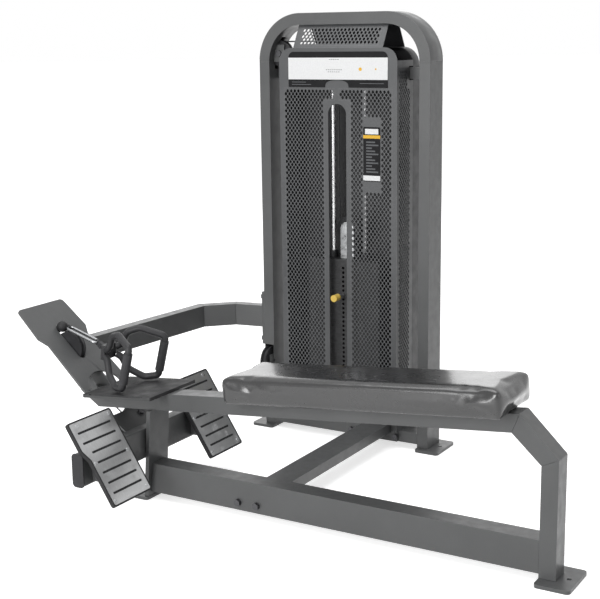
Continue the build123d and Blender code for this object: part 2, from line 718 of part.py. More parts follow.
def side_sheet(x0, z_top, y0, y1, corner):
    """A side panel in the Y-Z plane, with one rounded upper rear corner."""
    with BuildSketch(Plane.YZ.offset(x0)) as panel:
        with BuildLine():
            Polyline((y0, SHROUD_LOW), (y0, z_top), (y1 - corner, z_top))
            RadiusArc((y1 - corner, z_top), (y1, z_top - corner), corner)
            Polyline((y1, z_top - corner), (y1, SHROUD_LOW), (y0, SHROUD_LOW))
        make_face()
    extrude(panel.sketch, amount=SHEET)


with BuildPart() as front_cover:
    with BuildSketch(side_plane(front_y)) as panel:
        with Locations((TOWER_X, (FRONT_LOW + SHROUD_TOP) / 2)):
            Rectangle(2 * SHROUD_HALF, SHROUD_TOP - FRONT_LOW)
        fillet(panel.vertices().sort_by(Axis.Y)[-2:], 48)
    extrude(panel.sketch, amount=-SHEET)
    for x0 in (shroud_x0, shroud_x1 - SHEET):
        side_sheet(x0, 1340, front_y, SIDE_BACK_Y, 12)
    # window onto the stack
    with BuildSketch(side_plane(front_y - 5)) as window:
        with Locations((TOWER_X, (SLOT_TOP + 130) / 2)):
            SlotOverall(SLOT_TOP - 130, 2 * SLOT_HALF, rotation=90)
    extrude(window.sketch, amount=-20, mode=Mode.SUBTRACT)
    # cut-outs where the cross bar and the cable pass
    for x0 in (shroud_x0 - 2, shroud_x1 - SHEET - 2):
        block(x0, x0 + SHEET + 4, bar_y1 - BAR_LUG - 1, bar_y1 + 1,
              BAR_Z[0] - 1, BAR_Z[1] + 1, Mode.SUBTRACT)
save(front_cover, "shroud_front_cover")

with BuildPart() as rear_cover:
    # a shallow tray behind the weights, open towards them
    for shrink, depth, mode in ((0, REAR_DEPTH, Mode.ADD), (SHEET, REAR_DEPTH - SHEET, Mode.SUBTRACT)):
        with BuildSketch(side_plane(REAR_BACK_Y - REAR_DEPTH)) as tray_outline:
            with Locations((TOWER_X, (SHROUD_LOW + SHROUD_TOP) / 2)):
                Rectangle(2 * (SHROUD_HALF - shrink), SHROUD_TOP - SHROUD_LOW - 2 * shrink)
            fillet(tray_outline.vertices().sort_by(Axis.Y)[-2:], 60 - shrink)
        extrude(tray_outline.sketch, amount=-depth, mode=mode)
save(rear_cover, "shroud_rear_cover")

with BuildPart() as top_cap:
    # one sheet folded to a front slope, a flat ridge and a rear slope, open at both ends
    cap_front = front_y + SHEET
    cap_outer = [
        (cap_front, SHROUD_TOP - CAP_LIP),
        (cap_front, SHROUD_TOP),
        (CAP_RIDGE_Y[0], CAP_TOP),
        (CAP_RIDGE_Y[1], CAP_TOP),
        (REAR_BACK_Y, SHROUD_TOP),
    ]
    cap_inner = [
        (REAR_BACK_Y - SHEET * 1.2, SHROUD_TOP),
        (CAP_RIDGE_Y[1] - SHEET * 0.6, CAP_TOP - SHEET),
        (CAP_RIDGE_Y[0] + SHEET * 0.6, CAP_TOP - SHEET),
        (cap_front + SHEET, SHROUD_TOP - 1),
        (cap_front + SHEET, SHROUD_TOP - CAP_LIP),
    ]
    with BuildSketch(Plane.YZ.offset(TOWER_X - CAP_HALF)) as cap_section:
        Polygon(*(cap_outer + cap_inner), align=None)
    extrude(cap_section.sketch, amount=2 * CAP_HALF)
save(top_cap, "shroud_top_panel")

with BuildPart() as placard:
    block(-404, -22, front_y - 2.5, front_y, 1251, 1370)
    fillet(placard.edges().filter_by(Axis.Y), 10)
save(placard, "front_placard")

with BuildPart() as label:
    block(-114, -50, front_y - 1.2, front_y, 938, 1121)
    fillet(label.edges().filter_by(Axis.Y), 3)
save(label, "instruction_label")

# ================================ weight stack ==================================
lift_bottom = STACK_BOTTOM + RESTING * PITCH
head_bottom = lift_bottom + LIFTED * PITCH
head_top = head_bottom + HEAD_T
pin_z = lift_bottom + PITCH / 2


def weight_plates(z0, count, thickness):
    """A stack of plates with bores for the rods and the stem, and a pin hole in each."""
    for i in range(count):
        with BuildSketch(Plane.XY.offset(z0 + i * PITCH)) as plate:
            with Locations((TOWER_X, TOWER_Y)):
                RectangleRounded(STACK_W, STACK_D, 4)
                Circle(STEM_D / 2 + 1.5, mode=Mode.SUBTRACT)
            with Locations(*[(x, TOWER_Y) for x in rod_x]):
                Circle(ROD_D / 2 + 1.0, mode=Mode.SUBTRACT)
        extrude(plate.sketch, amount=thickness)
        rod((TOWER_X, TOWER_Y - 60, z0 + (i + 0.5) * PITCH), (0, 1, 0), PIN_D + 2 * RUN_FIT, 60,
            Mode.SUBTRACT)


with BuildPart() as resting:
    weight_plates(STACK_BOTTOM, RESTING, PLATE_THICK)
save(resting, "resting_plates")

with BuildPart() as lifted:
    weight_plates(lift_bottom, LIFTED, PLATE_THICK)
save(lifted, "lifted_plates")

with BuildPart() as head_plate:
    with BuildSketch(Plane.XY.offset(head_bottom)):
        with Locations((TOWER_X, TOWER_Y)):
            RectangleRounded(STACK_W, STACK_D, 4)
            Circle(STEM_D / 2, mode=Mode.SUBTRACT)
        with Locations(*[(x, TOWER_Y) for x in rod_x]):
            Circle(ROD_D / 2 + 1.0, mode=Mode.SUBTRACT)
    extrude(amount=HEAD_T)
save(head_plate, "head_plate")

with BuildPart() as bushings:
    with BuildSketch(Plane.XY.offset(head_top)):
        with Locations(*[(x, TOWER_Y) for x in rod_x]):
            Circle(15)
            Circle(ROD_D / 2 + RUN_FIT, mode=Mode.SUBTRACT)
    extrude(amount=24)
save(bushings, "head_bushings")

with BuildPart() as stem:
    stem_low = STACK_BOTTOM + 4
    rod((TOWER_X, TOWER_Y, stem_low), (0, 0, 1), STEM_D, head_top - stem_low)
    for i in range(RESTING + LIFTED):
        z = STACK_BOTTOM + (i + 0.5) * PITCH
        rod((TOWER_X, TOWER_Y - 20, z), (0, 1, 0), PIN_D + 2 * RUN_FIT, 40, Mode.SUBTRACT)
save(stem, "selector_stem")

with BuildPart() as pin:
    rod((TOWER_X, 470, pin_z), (0, 1, 0), PIN_D, 92)
    rod((TOWER_X, 434, pin_z), (0, 1, 0), 24, 30)
    rod((TOWER_X, 464, pin_z), (0, 1, 0), 16, 8)
save(pin, "selector_pin")

with BuildPart() as bumpers:
    with BuildSketch(Plane.XY.offset(TOWER_BASE[1])):
        with Locations(*[(x, TOWER_Y) for x in rod_x]):
            Circle(24)
            Circle(ROD_D / 2 + 0.1, mode=Mode.SUBTRACT)
    extrude(amount=STACK_BOTTOM - TOWER_BASE[1])
save(bumpers, "stack_bumpers")

with BuildPart() as yoke:
    block(TOWER_X - 26, TOWER_X + 26, TOWER_Y - 18, TOWER_Y + 18, head_top, head_top + 12)
    for side in (-1, 1):
        y = TOWER_Y + side * 15.5
        with BuildSketch(side_plane(y)) as lug:
            with Locations((TOWER_X, (head_top + FLOAT_PULLEY_Z) / 2)):
                Rectangle(52, FLOAT_PULLEY_Z - head_top)
            with Locations((TOWER_X, FLOAT_PULLEY_Z)):
                Circle(26)
        extrude(lug.sketch, amount=2.5, both=True)
    rod((TOWER_X, TOWER_Y - 40, FLOAT_PULLEY_Z), (0, 1, 0), AXLE_D, 80, Mode.SUBTRACT)
save(yoke, "floating_pulley_yoke")

# ================================ pulleys =======================================
turn_axis = fall_up
wheels = [
    ("exit_pulley", exit_centre, Y_DIR, CABLE_R, PULLEY_OUT),
    ("turn_pulley", turn_centre, turn_axis, CABLE_R, PULLEY_OUT),
    ("leg_pulley", leg_centre, X_DIR, CABLE_R, PULLEY_OUT),
    ("hoop_pulley", hoop_centre, Y_DIR, TOWER_CABLE_R, TOWER_PULLEY_OUT),
    ("top_pulley", top_centre, Y_DIR, TOWER_CABLE_R, TOWER_PULLEY_OUT),
    ("floating_pulley", float_centre, Y_DIR, TOWER_CABLE_R, TOWER_PULLEY_OUT),
]
for name, centre, axis, cable_r, out_r in wheels:
    with BuildPart() as wheel:
        pulley(centre, axis, cable_r, out_r)
    save(wheel, name)


def axle(centre, axis, half, head=True):
    """A bolt through a pulley, with a head at each end when there is room."""
    rod(centre - axis * half, axis, AXLE_D, 2 * half)
    if head:
        rod(centre - axis * (half + 6), axis, 22, 6)
        rod(centre + axis * half, axis, 22, 6)


with BuildPart() as axles:
    axle(exit_centre, Y_DIR, CHEEK_OUT, False)
    axle(turn_centre, turn_axis, 18)
    axle(leg_centre, X_DIR, HOOP_T / 2 - WALL, False)
    axle(hoop_centre, Y_DIR, 18)
    axle(top_centre, Y_DIR, 18)
save(axles, "pulley_axles")

with BuildPart() as float_axle:
    axle(float_centre, Y_DIR, 18)
save(float_axle, "floating_pulley_axle")

with BuildPart() as turn_bracket:
    # two plates either side of the turning pulley
    for level in (13, -18):
        start = turn_centre + turn_axis * level
        with BuildSketch(Plane(origin=start, x_dir=fall_dir, z_dir=turn_axis)) as plate:
            with Locations((8, -63)):
                Rectangle(72, 126)
            Circle(38)
            with Locations((8, -40)):
                Rectangle(72, 172, mode=Mode.INTERSECT)
            Circle(AXLE_D / 2, mode=Mode.SUBTRACT)
        extrude(plate.sketch, amount=5)
    # foot welded to the cross tube
    upper = turn_centre + fall_dir * 43.9 + turn_axis * 18
    lower = turn_centre + fall_dir * 43.9 - turn_axis * 18
    tube_back = CROSS_X - CROSS_T / 2
    outline = [(upper.X, upper.Z), (lower.X, lower.Z), (tube_back, 160), (tube_back, 226)]
    side_prism(outline, -326, 34)
save(turn_bracket, "turn_pulley_bracket")

# ================================ cable end and handle ==========================
EYE_AT = (-797.0, 510.0)       # ring on the ball, X and Z
PIVOT_AT = (-680.0, 475.0)     # far bend of the snap link, on which the shackle hangs
LINK_D = 8.0
LINK_HALF = 12.0
RING_R = 7.6
RING_D = 5.6
eye = Vector(EYE_AT[0], BENCH_Y, EYE_AT[1])
pivot = Vector(PIVOT_AT[0], BENCH_Y, PIVOT_AT[1])
link_dir = (pivot - eye).normalized()


with BuildPart() as cable_ball:
    with Locations(ball):
        Sphere(18, rotation=(0, 0, 90))
    stem_dir = (eye - ball).normalized()
    rod(ball + stem_dir * 12, stem_dir, 9, (eye - ball).length - RING_R - 12)
    with Locations(Plane(origin=eye, z_dir=(0, 1, 0))):
        Torus(RING_R, RING_D / 2)
save(cable_ball, "cable_ball")

with BuildPart() as snap_link:
    # closed flat oval of round bar, threaded through the ring and the shackle's eye
    left = eye + link_dir * LINK_HALF
    right = pivot - link_dir * LINK_HALF
    out = Y_DIR * LINK_HALF
    with BuildLine() as oval:
        Line(left + out, right + out)
        ThreePointArc(right + out, right + link_dir * LINK_HALF, right - out)
        Line(right - out, left - out)
        ThreePointArc(left - out, left - link_dir * LINK_HALF, left + out)
    loop = oval.wires()[0]
    with BuildSketch(Plane(origin=loop @ 0, z_dir=loop % 0)) as section:
        Circle(LINK_D / 2)
    sweep(section.sketch, path=loop)
save(snap_link, "snap_link")

# each handle is a D of round bar; its root is at the shackle and its far side is the grip
D_ROOT = (-636.0, 20.0, 452.0)
D_TOP = (-478.0, 93.0, 498.0)
D_LOW = (-512.0, 93.0, 366.0)
root = Vector(D_ROOT[0], BENCH_Y, D_ROOT[2])
shackle_dir = (root - pivot).normalized()
with BuildPart() as shackle:
    with Locations(Plane(origin=pivot, z_dir=(0, 1, 0))):
        Torus(RING_R, RING_D / 2)
    with Locations(Plane(origin=pivot + shackle_dir * 24, x_dir=shackle_dir, z_dir=Y_DIR)):
        Box(32, 18, 12)
    with Locations(Plane(origin=root, x_dir=(0.99, 0, -0.14), z_dir=Y_DIR)):
        Box(14, 48, 58)
    # clamping bolt across the neck
    rod(pivot + shackle_dir * 24 - Y_DIR * 16, Y_DIR, 10, 32)
save(shackle, "handle_shackle")


def handle_point(side, point):
    """A point of a handle, mirrored about the pull line for the near one."""
    return Vector(point[0], BENCH_Y + side * point[1], point[2])


def handle_plane(side):
    """Plane of a handle's D: local X from the root to the grip, local Y up the grip."""
    start = handle_point(side, D_ROOT)
    middle = (handle_point(side, D_TOP) + handle_point(side, D_LOW)) * 0.5
    along = (middle - start).normalized()
    grip = handle_point(side, D_TOP) - handle_point(side, D_LOW)
    return Plane(origin=start, x_dir=along, z_dir=along.cross(grip).normalized())


D_PATH = [(13, 13), (30, 20), (42, 66), (84, 84), (167, 68), (153, -68), (108, -80), (54, -58)]
D_PATH += [(30, -20), (13, -13)]
D_RADII = [34, 34, 34, 15, 15, 34, 34, 34]
for side, hand in ((-1, "near"), (1, "far")):
    frame = handle_plane(side)
    with BuildPart() as handle:
        with BuildLine(frame) as path:
            FilletPolyline(*D_PATH, radius=D_RADII)
        rail = path.wires()[0]
        with BuildSketch(Plane(origin=rail @ 0, z_dir=rail % 0)) as section:
            Circle(RAIL_D / 2)
        sweep(section.sketch, path=rail)
    save(handle, hand + "_handle_frame")

with BuildPart() as grips:
    for side in (-1, 1):
        frame = handle_plane(side)
        top = frame.from_local_coords(Vector(167, 68, 0))
        low = frame.from_local_coords(Vector(153, -68, 0))
        line = (top - low).normalized()
        rod(low + line * 18, line, GRIP_D, (top - low).length - 36)
        rod(low + line * 16, line, RAIL_D + 0.1, (top - low).length - 30, Mode.SUBTRACT)
save(grips, "handle_grips")
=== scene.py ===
import math

import bmesh
import bpy
from mathutils import Matrix, Vector


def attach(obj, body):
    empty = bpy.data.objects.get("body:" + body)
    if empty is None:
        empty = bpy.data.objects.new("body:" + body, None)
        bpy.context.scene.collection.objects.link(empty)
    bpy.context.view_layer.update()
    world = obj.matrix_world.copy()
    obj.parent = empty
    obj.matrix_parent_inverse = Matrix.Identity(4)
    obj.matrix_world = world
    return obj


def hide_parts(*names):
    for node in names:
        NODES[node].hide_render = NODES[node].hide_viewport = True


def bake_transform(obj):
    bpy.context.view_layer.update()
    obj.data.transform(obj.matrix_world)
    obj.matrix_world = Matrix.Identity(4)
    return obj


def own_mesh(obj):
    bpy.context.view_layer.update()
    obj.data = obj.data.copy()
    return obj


# A seated cable row machine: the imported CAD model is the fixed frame, and this
# script adds the looks. All lengths here are metres in the row frame unless a
# name says otherwise.
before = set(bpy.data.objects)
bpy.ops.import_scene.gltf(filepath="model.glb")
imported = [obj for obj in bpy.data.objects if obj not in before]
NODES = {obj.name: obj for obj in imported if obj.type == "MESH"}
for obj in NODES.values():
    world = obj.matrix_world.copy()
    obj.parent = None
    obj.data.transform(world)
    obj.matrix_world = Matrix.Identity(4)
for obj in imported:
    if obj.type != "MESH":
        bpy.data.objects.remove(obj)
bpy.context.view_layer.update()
MM = 0.001

# ---- sizes shared with the CAD model (millimetres; LIFT and KNOB_EDGE in metres) -----
BENCH_Y = -282.0
TOWER_X = -215.0
TOWER_Y = 552.0
SEAT_SLOPE = 5.2
SHEET = 3.0
SHROUD_HALF = 227.0
SHROUD_FRONT_Y = 467.0
SHROUD_TOP = 1383.0
SHROUD_LOW = 62.0
FRONT_LOW = 104.0
SIDE_TOP = 1340.0
SIDE_BACK_Y = 588.0
CORNER_R = 48.0
SLOT_HALF = 35.0
SLOT_LOW = 130.0
SLOT_TOP = 1196.0
CAP_HALF = 172.0
CAP_TOP = 1459.5
CAP_RIDGE_Y = (512.0, 592.0)
REAR_BACK_Y = 637.0
PLACARD = (-404.0, -22.0, 1251.0, 1370.0)
LABEL = (-114.0, -50.0, 938.0, 1121.0)
KNOB_EDGE = 0.4645

# ---- perforation (millimetres; COLS and ROWS are counted in half pitches) -----------
# LABEL_BACKING is the unpunched rim left of, right of, below and above the label;
# SIDE_NARROW is how many columns run to the top, and how many rows lack the others.
HOLE_HALF_W = 4.6
HOLE_HALF_H = 6.6
HOLE_SHOULDER = HOLE_HALF_H / 2.4
HALF_PITCH_V = 9.78
MARGIN = 18.0
SLOT_MARGIN = 16.0
PLACARD_GAP = 4.0
FRONT_COLS = 22
BRIDGE_COLS = 6
BRIDGE_ROWS = 4
SEAM_HALF = 6.0
SEAM_LOW = 690.0
LABEL_BACKING = (4.0, 6.0, 40.0, 30.0)
SIDE_FIELD = (122.0, 1310.0)
SIDE_COLS = 12
SIDE_NARROW = (9, 6)
SIDE_HALF_PITCH_U = 7.2
SIDE_MARGIN = 11.0
BAR_NOTCH = (558.0, 1273.0, 1320.0)
CAP_SIDE_MARGIN = 20.0
CAP_LOW_MARGIN = 8.0
CAP_HALF_PITCH_V = 11.8

# ---- camera ----------------------------------------------------------------------
CAMERA_AT = Vector((1.8777, -3.3039, 1.43195))
CAMERA_YAW = math.radians(30.81)
CAMERA_PITCH = math.radians(11.95)
CAMERA_ROLL = math.radians(-0.77)
CAMERA_LENS = 75.48

# ---- light -------------------------------------------------------------------------
ROOM_LIGHT = 0.5
FLOOR_BOUNCE = 0.05
FLOOR_GLOW = 0.62
FLOOR_RADIUS = 70

X_AXIS = Vector((1, 0, 0))
Y_AXIS = Vector((0, 1, 0))
Z_AXIS = Vector((0, 0, 1))


# =============================== materials =========================================
class Look:
    """A material under construction: its node tree and its Principled shader."""

    def __init__(self, name, colour, roughness, metallic=0.0, coat=0.0, specular=0.5):
        self.material = bpy.data.materials.new(name)
        self.material.use_nodes = True
        self.nodes = self.material.node_tree.nodes
        self.links = self.material.node_tree.links
        self.shader = self.nodes["Principled BSDF"]
        self.shader.inputs["Base Color"].default_value = (*colour, 1.0)
        self.shader.inputs["Roughness"].default_value = roughness
        self.shader.inputs["Metallic"].default_value = metallic
        self.shader.inputs["Coat Weight"].default_value = coat
        self.shader.inputs["Coat Roughness"].default_value = 0.25
        self.shader.inputs["Specular IOR Level"].default_value = specular
        coordinates = self.nodes.new("ShaderNodeTexCoord")
        self.place = coordinates.outputs["Object"]
        self.object_normal = coordinates.outputs["Normal"]
        self.last_bump = None

    def stretched(self, stretch):
        """Object coordinates scaled along each axis."""
        mapping = self.nodes.new("ShaderNodeMapping")
        mapping.inputs["Scale"].default_value = stretch
        self.links.new(self.place, mapping.inputs["Vector"])
        return mapping.outputs["Vector"]

    def noise(self, scale, detail=3.0, stretch=(1, 1, 1)):
        """Fractal noise from 0 to 1; scale is in features per metre."""
        node = self.nodes.new("ShaderNodeTexNoise")
        node.inputs["Scale"].default_value = scale
        node.inputs["Detail"].default_value = detail
        self.links.new(self.stretched(stretch), node.inputs["Vector"])
        return node.outputs["Fac"]

    def cells(self, scale, feature="F1", output="Distance"):
        """A Voronoi pattern; scale is in cells per metre."""
        node = self.nodes.new("ShaderNodeTexVoronoi")
        node.feature = feature
        node.inputs["Scale"].default_value = scale
        self.links.new(self.place, node.inputs["Vector"])
        return node.outputs[output]

    def bands(self, scale, direction="X", distortion=0.0):
        """Straight bands across one axis."""
        node = self.nodes.new("ShaderNodeTexWave")
        node.bands_direction = direction
        node.inputs["Scale"].default_value = scale
        node.inputs["Distortion"].default_value = distortion
        self.links.new(self.place, node.inputs["Vector"])
        return node.outputs["Fac"]

    def edges(self, radius):
        """1 near the object's sharp edges and 0 on its faces."""
        bevel = self.nodes.new("ShaderNodeBevel")
        bevel.samples = 4
        bevel.inputs["Radius"].default_value = radius
        normal = self.nodes.new("ShaderNodeNewGeometry").outputs["Normal"]
        dot = self.nodes.new("ShaderNodeVectorMath")
        dot.operation = "DOT_PRODUCT"
        self.links.new(bevel.outputs["Normal"], dot.inputs[0])
        self.links.new(normal, dot.inputs[1])
        return self.ranged(dot.outputs["Value"], 0.99, 0.8, 0.0, 1.0)

    def ranged(self, value, low, high, out_low, out_high):
        """A value mapped from one range to another and held there."""
        node = self.nodes.new("ShaderNodeMapRange")
        node.inputs["From Min"].default_value = low
        node.inputs["From Max"].default_value = high
        node.inputs["To Min"].default_value = out_low
        node.inputs["To Max"].default_value = out_high
        self.links.new(value, node.inputs["Value"])
        return node.outputs["Result"]

    def mix(self, factor, first, second):
        """A colour mix; first and second are colours or sockets."""
        node = self.nodes.new("ShaderNodeMix")
        node.data_type = "RGBA"
        self.links.new(factor, node.inputs["Factor"])
        for socket, value in ((node.inputs[6], first), (node.inputs[7], second)):
            if isinstance(value, tuple):
                socket.default_value = (*value, 1.0)
            else:
                self.links.new(value, socket)
        return node.outputs[2]

    def colour(self, socket):
        """Drives the base colour."""
        self.links.new(socket, self.shader.inputs["Base Color"])

    def roughness(self, value, low, high):
        """Drives the roughness from a noise, between two values."""
        self.links.new(self.ranged(value, 0.3, 0.7, low, high), self.shader.inputs["Roughness"])

    def bump(self, height, strength, distance):
        """Adds a bump on top of those already there."""
        node = self.nodes.new("ShaderNodeBump")
        node.inputs["Strength"].default_value = strength
        node.inputs["Distance"].default_value = distance
        self.links.new(height, node.inputs["Height"])
        if self.last_bump:
            self.links.new(self.last_bump, node.inputs["Normal"])
        self.last_bump = node.outputs["Normal"]
        self.links.new(self.last_bump, self.shader.inputs["Normal"])


def scaled(colour, factor):
    """A colour made lighter or darker."""
    return tuple(min(1.0, c * factor) for c in colour)


def powder_coat(name, colour, roughness=0.42, coat=0.12):
    """Satin textured paint: orange peel, soft cloudiness, thin edges made brighter as painted highlight
    and partly as edge wear.
    """
    look = Look(name, colour, roughness, coat=coat)
    clouds = look.ranged(look.noise(6, 4), 0.3, 0.7, 0.0, 1.0)
    body = look.mix(clouds, scaled(colour, 0.9), scaled(colour, 1.1))
    specks = look.ranged(look.noise(1400, 1), 0.62, 0.75, 0.0, 0.5)
    body = look.mix(specks, body, scaled(colour, 1.7))
    # painted highlight: sharp edges are turned lighter for light catching them, partly also standing for
    # edge wear
    look.colour(look.mix(look.edges(0.0022), body, scaled(colour, 1.75)))
    look.roughness(look.noise(35, 3), roughness - 0.06, roughness + 0.1)
    look.bump(look.noise(900, 2), 0.12, 0.0006)
    return look.material


def metal(name, colour, roughness, stretch=(1, 1, 1), scratch=0.08):
    """Bare or plated metal with fine directional scratches and handling marks."""
    look = Look(name, colour, roughness, metallic=1.0)
    grain = look.noise(500, 3, stretch)
    look.colour(look.mix(look.ranged(grain, 0.3, 0.7, 0, 1), scaled(colour, 0.86), colour))
    look.roughness(look.noise(60, 4), roughness * 0.7, roughness * 1.5)
    look.bump(grain, scratch, 0.0003)
    return look.material


def moulded(name, colour, roughness, grain=0.25):
    """Black plastic or rubber with a fine spark-eroded grain and a few scuffs."""
    look = Look(name, colour, roughness, specular=0.3)
    scuffs = look.ranged(look.noise(45, 5), 0.55, 0.75, 0.0, 0.6)
    look.colour(look.mix(scuffs, colour, scaled(colour, 2.0)))
    look.roughness(look.noise(25, 4), roughness - 0.08, roughness + 0.1)
    look.bump(look.noise(1600, 2), grain, 0.0004)
    return look.material


def leather(name):
    """Black synthetic leather: pebble grain, faint creases, satin sheen."""
    colour = (0.011, 0.011, 0.012)
    look = Look(name, colour, 0.32, coat=0.6, specular=0.6)
    look.shader.inputs["Coat Roughness"].default_value = 0.14
    pebbles = look.cells(650)
    clouds = look.ranged(look.noise(9, 4), 0.35, 0.7, 0, 1)
    base = look.mix(clouds, scaled(colour, 0.8), scaled(colour, 1.5))
    look.colour(look.mix(look.ranged(pebbles, 0.1, 0.6, 0, 1), base, scaled(colour, 0.5)))
    look.roughness(look.noise(14, 4), 0.22, 0.32)
    look.bump(look.noise(16, 2), 0.08, 0.002)
    look.bump(pebbles, 0.14, 0.0005)
    return look.material


def print_ink(name, colour):
    """Printed film: near-even matt ink with a faint mottle."""
    look = Look(name, colour, 0.55, specular=0.15)
    mottle = look.ranged(look.noise(220, 3), 0.3, 0.7, 0, 1)
    look.colour(look.mix(mottle, scaled(colour, 0.93), colour))
    look.roughness(look.noise(40, 3), 0.5, 0.65)
    look.bump(look.noise(300, 2), 0.03, 0.0003)
    return look.material


def plate_iron(name):
    """Black cast plates with a rolled grain and rims made three times lighter."""
    colour = (0.02, 0.02, 0.021)
    look = Look(name, colour, 0.5)
    clouds = look.ranged(look.noise(30, 5), 0.3, 0.7, 0, 1)
    body = look.mix(clouds, scaled(colour, 0.7), scaled(colour, 1.5))
    look.colour(look.mix(look.edges(0.0015), body, scaled(colour, 3)))
    look.roughness(look.noise(80, 3), 0.42, 0.62)
    look.bump(look.noise(500, 3), 0.25, 0.0006)
    return look.material


def tread_metal(name):
    """Pale anodised footplate, brushed along its length, scuffed where feet rest."""
    colour = (0.56, 0.565, 0.57)
    look = Look(name, colour, 0.34, metallic=0.85)
    brush = look.noise(700, 2, (0.12, 1.0, 0.12))
    scuffs = look.ranged(look.noise(22, 5), 0.5, 0.72, 0, 1)
    body = look.mix(look.ranged(brush, 0.3, 0.7, 0, 1), scaled(colour, 0.85), colour)
    body = look.mix(look.ranged(scuffs, 0, 1, 0, 0.35), body, scaled(colour, 0.55))
    look.colour(body)
    look.roughness(scuffs, 0.3, 0.45)
    look.bump(brush, 0.12, 0.0003)
    return look.material


def stained_board(name):
    """The pad's plywood base, stained black, with its plies showing faintly."""
    colour = (0.03, 0.028, 0.026)
    look = Look(name, colour, 0.6)
    plies = look.bands(260, "Z", 0.6)
    grain = look.noise(90, 4, (0.1, 1, 1))
    look.colour(look.mix(plies, colour, scaled(colour, 1.9)))
    look.roughness(grain, 0.5, 0.72)
    look.bump(grain, 0.3, 0.0006)
    return look.material


def wire_coat(name):
    """Black nylon jacket over wire rope: the strands show as a fine twist."""
    colour = (0.02, 0.02, 0.022)
    look = Look(name, colour, 0.3, coat=0.3)
    twist = look.bands(420, "DIAGONAL", 0.4)
    look.colour(look.mix(twist, scaled(colour, 0.7), scaled(colour, 2.0)))
    look.roughness(look.noise(60, 3), 0.24, 0.4)
    look.bump(twist, 0.3, 0.0005)
    return look.material


def pin_finish(name, knob_edge):
    """Zinc rod with a moulded yellow knob in front of knob_edge on the Y axis."""
    zinc = (0.62, 0.63, 0.64)
    yellow = (0.8, 0.56, 0.12)
    look = Look(name, zinc, 0.35)
    split = look.nodes.new("ShaderNodeSeparateXYZ")
    look.links.new(look.place, split.inputs["Vector"])
    rod = look.ranged(split.outputs["Y"], knob_edge - 0.0002, knob_edge + 0.0002, 0, 1)
    mottle = look.mix(look.noise(150, 3), scaled(yellow, 0.85), yellow)
    look.colour(look.mix(rod, mottle, zinc))
    look.links.new(rod, look.shader.inputs["Metallic"])
    look.roughness(look.noise(80, 3), 0.25, 0.4)
    look.bump(look.noise(700, 2), 0.1, 0.0003)
    return look.material


def tray_finish(name):
    """Painted tray whose top carries a black rubber mat, and whose rear lip, facing +X, gets the same
    black as painted shade.
    """
    # the second colour is the black of the top mat and also the painted shade on the lip facing +X
    paint, mat_and_shade = (0.05, 0.051, 0.052), (0.008, 0.008, 0.009)
    look = Look(name, paint, 0.45)
    split = look.nodes.new("ShaderNodeSeparateXYZ")
    look.links.new(look.object_normal, split.inputs["Vector"])
    top = look.ranged(split.outputs["Z"], 0.5, 0.7, 0, 1)
    # painted shade: faces turned towards +X are given the dark colour for the shadow they sit in
    painted_shade_side = look.ranged(split.outputs["X"], 0.5, 0.7, 0, 1)
    clouds = look.ranged(look.noise(20, 4), 0.3, 0.7, 0, 1)
    body = look.mix(clouds, scaled(paint, 0.9), scaled(paint, 1.1))
    dark = look.mix(clouds, scaled(mat_and_shade, 0.7), scaled(mat_and_shade, 1.6))
    look.colour(look.mix(painted_shade_side, look.mix(top, body, dark), dark))
    look.roughness(look.noise(30, 3), 0.5, 0.7)
    look.bump(look.noise(1200, 2), 0.25, 0.0005)
    return look.material


PAINT = powder_coat("frame_powder_coat", (0.078, 0.08, 0.081), 0.4)
COVER_PAINT = powder_coat("cover_powder_coat", (0.07, 0.072, 0.075), 0.4)
REAR_PAINT = powder_coat("rear_sheet_paint", (0.02, 0.02, 0.022), 0.5)
ZINC = metal("bright_zinc", (0.62, 0.63, 0.64), 0.3)
DARK_BOLT = metal("blackened_steel", (0.09, 0.09, 0.095), 0.38)
CHROME = metal("chrome_plate", (0.9, 0.9, 0.91), 0.28, (1, 1, 0.1), 0.02)
LINK_STEEL = metal("link_steel", (0.36, 0.365, 0.375), 0.2, (1, 1, 1), 0.05)
TREAD = tread_metal("tread_aluminium")
RUBBER = moulded("black_rubber", (0.022, 0.022, 0.023), 0.62, 0.35)
PLASTIC = moulded("black_moulding", (0.024, 0.024, 0.026), 0.42)
HANDLE = moulded("handle_moulding", (0.03, 0.03, 0.032), 0.45, 0.3)
GRIP = moulded("grip_rubber", (0.04, 0.04, 0.043), 0.6, 0.5)
IRON = plate_iron("stack_iron")
LEATHER = leather("pad_leather")
BOARD = stained_board("pad_board")
TRAY = tray_finish("tray_mat_and_painted_shade")
JACKET = wire_coat("wire_jacket")
WHITE_INK = print_ink("white_film", (0.86, 0.865, 0.87))
BLACK_INK = print_ink("black_film", (0.008, 0.008, 0.009))
AMBER_INK = print_ink("amber_film", (0.85, 0.5, 0.06))
GREY_INK = print_ink("grey_film", (0.13, 0.134, 0.14))

NODE_LOOKS = {
    "shroud_rear_cover": REAR_PAINT,
    "cross_tube_end_caps": PLASTIC,
    "near_footplate_backing": RUBBER,
    "far_footplate_backing": RUBBER,
    "footplate_treads": TREAD,
    "footplate_screws": ZINC,
    "frame_bolts": DARK_BOLT,
    "pulley_axles": DARK_BOLT,
    "floating_pulley_axle": ZINC,
    "floating_pulley_yoke": ZINC,
    "exit_pulley": PLASTIC,
    "turn_pulley": PLASTIC,
    "leg_pulley": PLASTIC,
    "hoop_pulley": PLASTIC,
    "top_pulley": PLASTIC,
    "floating_pulley": PLASTIC,
    "head_bushings": PLASTIC,
    "stack_bumpers": RUBBER,
    "guide_rods": CHROME,
    "selector_stem": CHROME,
    "snap_link": LINK_STEEL,
    "cable_anchor": ZINC,
    "cable_ball": RUBBER,
    "seat_pad_board": BOARD,
    "head_plate": IRON,
    "lifted_plates": IRON,
    "resting_plates": IRON,
    "handle_shackle": HANDLE,
    "near_handle_frame": HANDLE,
    "far_handle_frame": HANDLE,
    "handle_grips": GRIP,
    "handle_tray": TRAY,
}

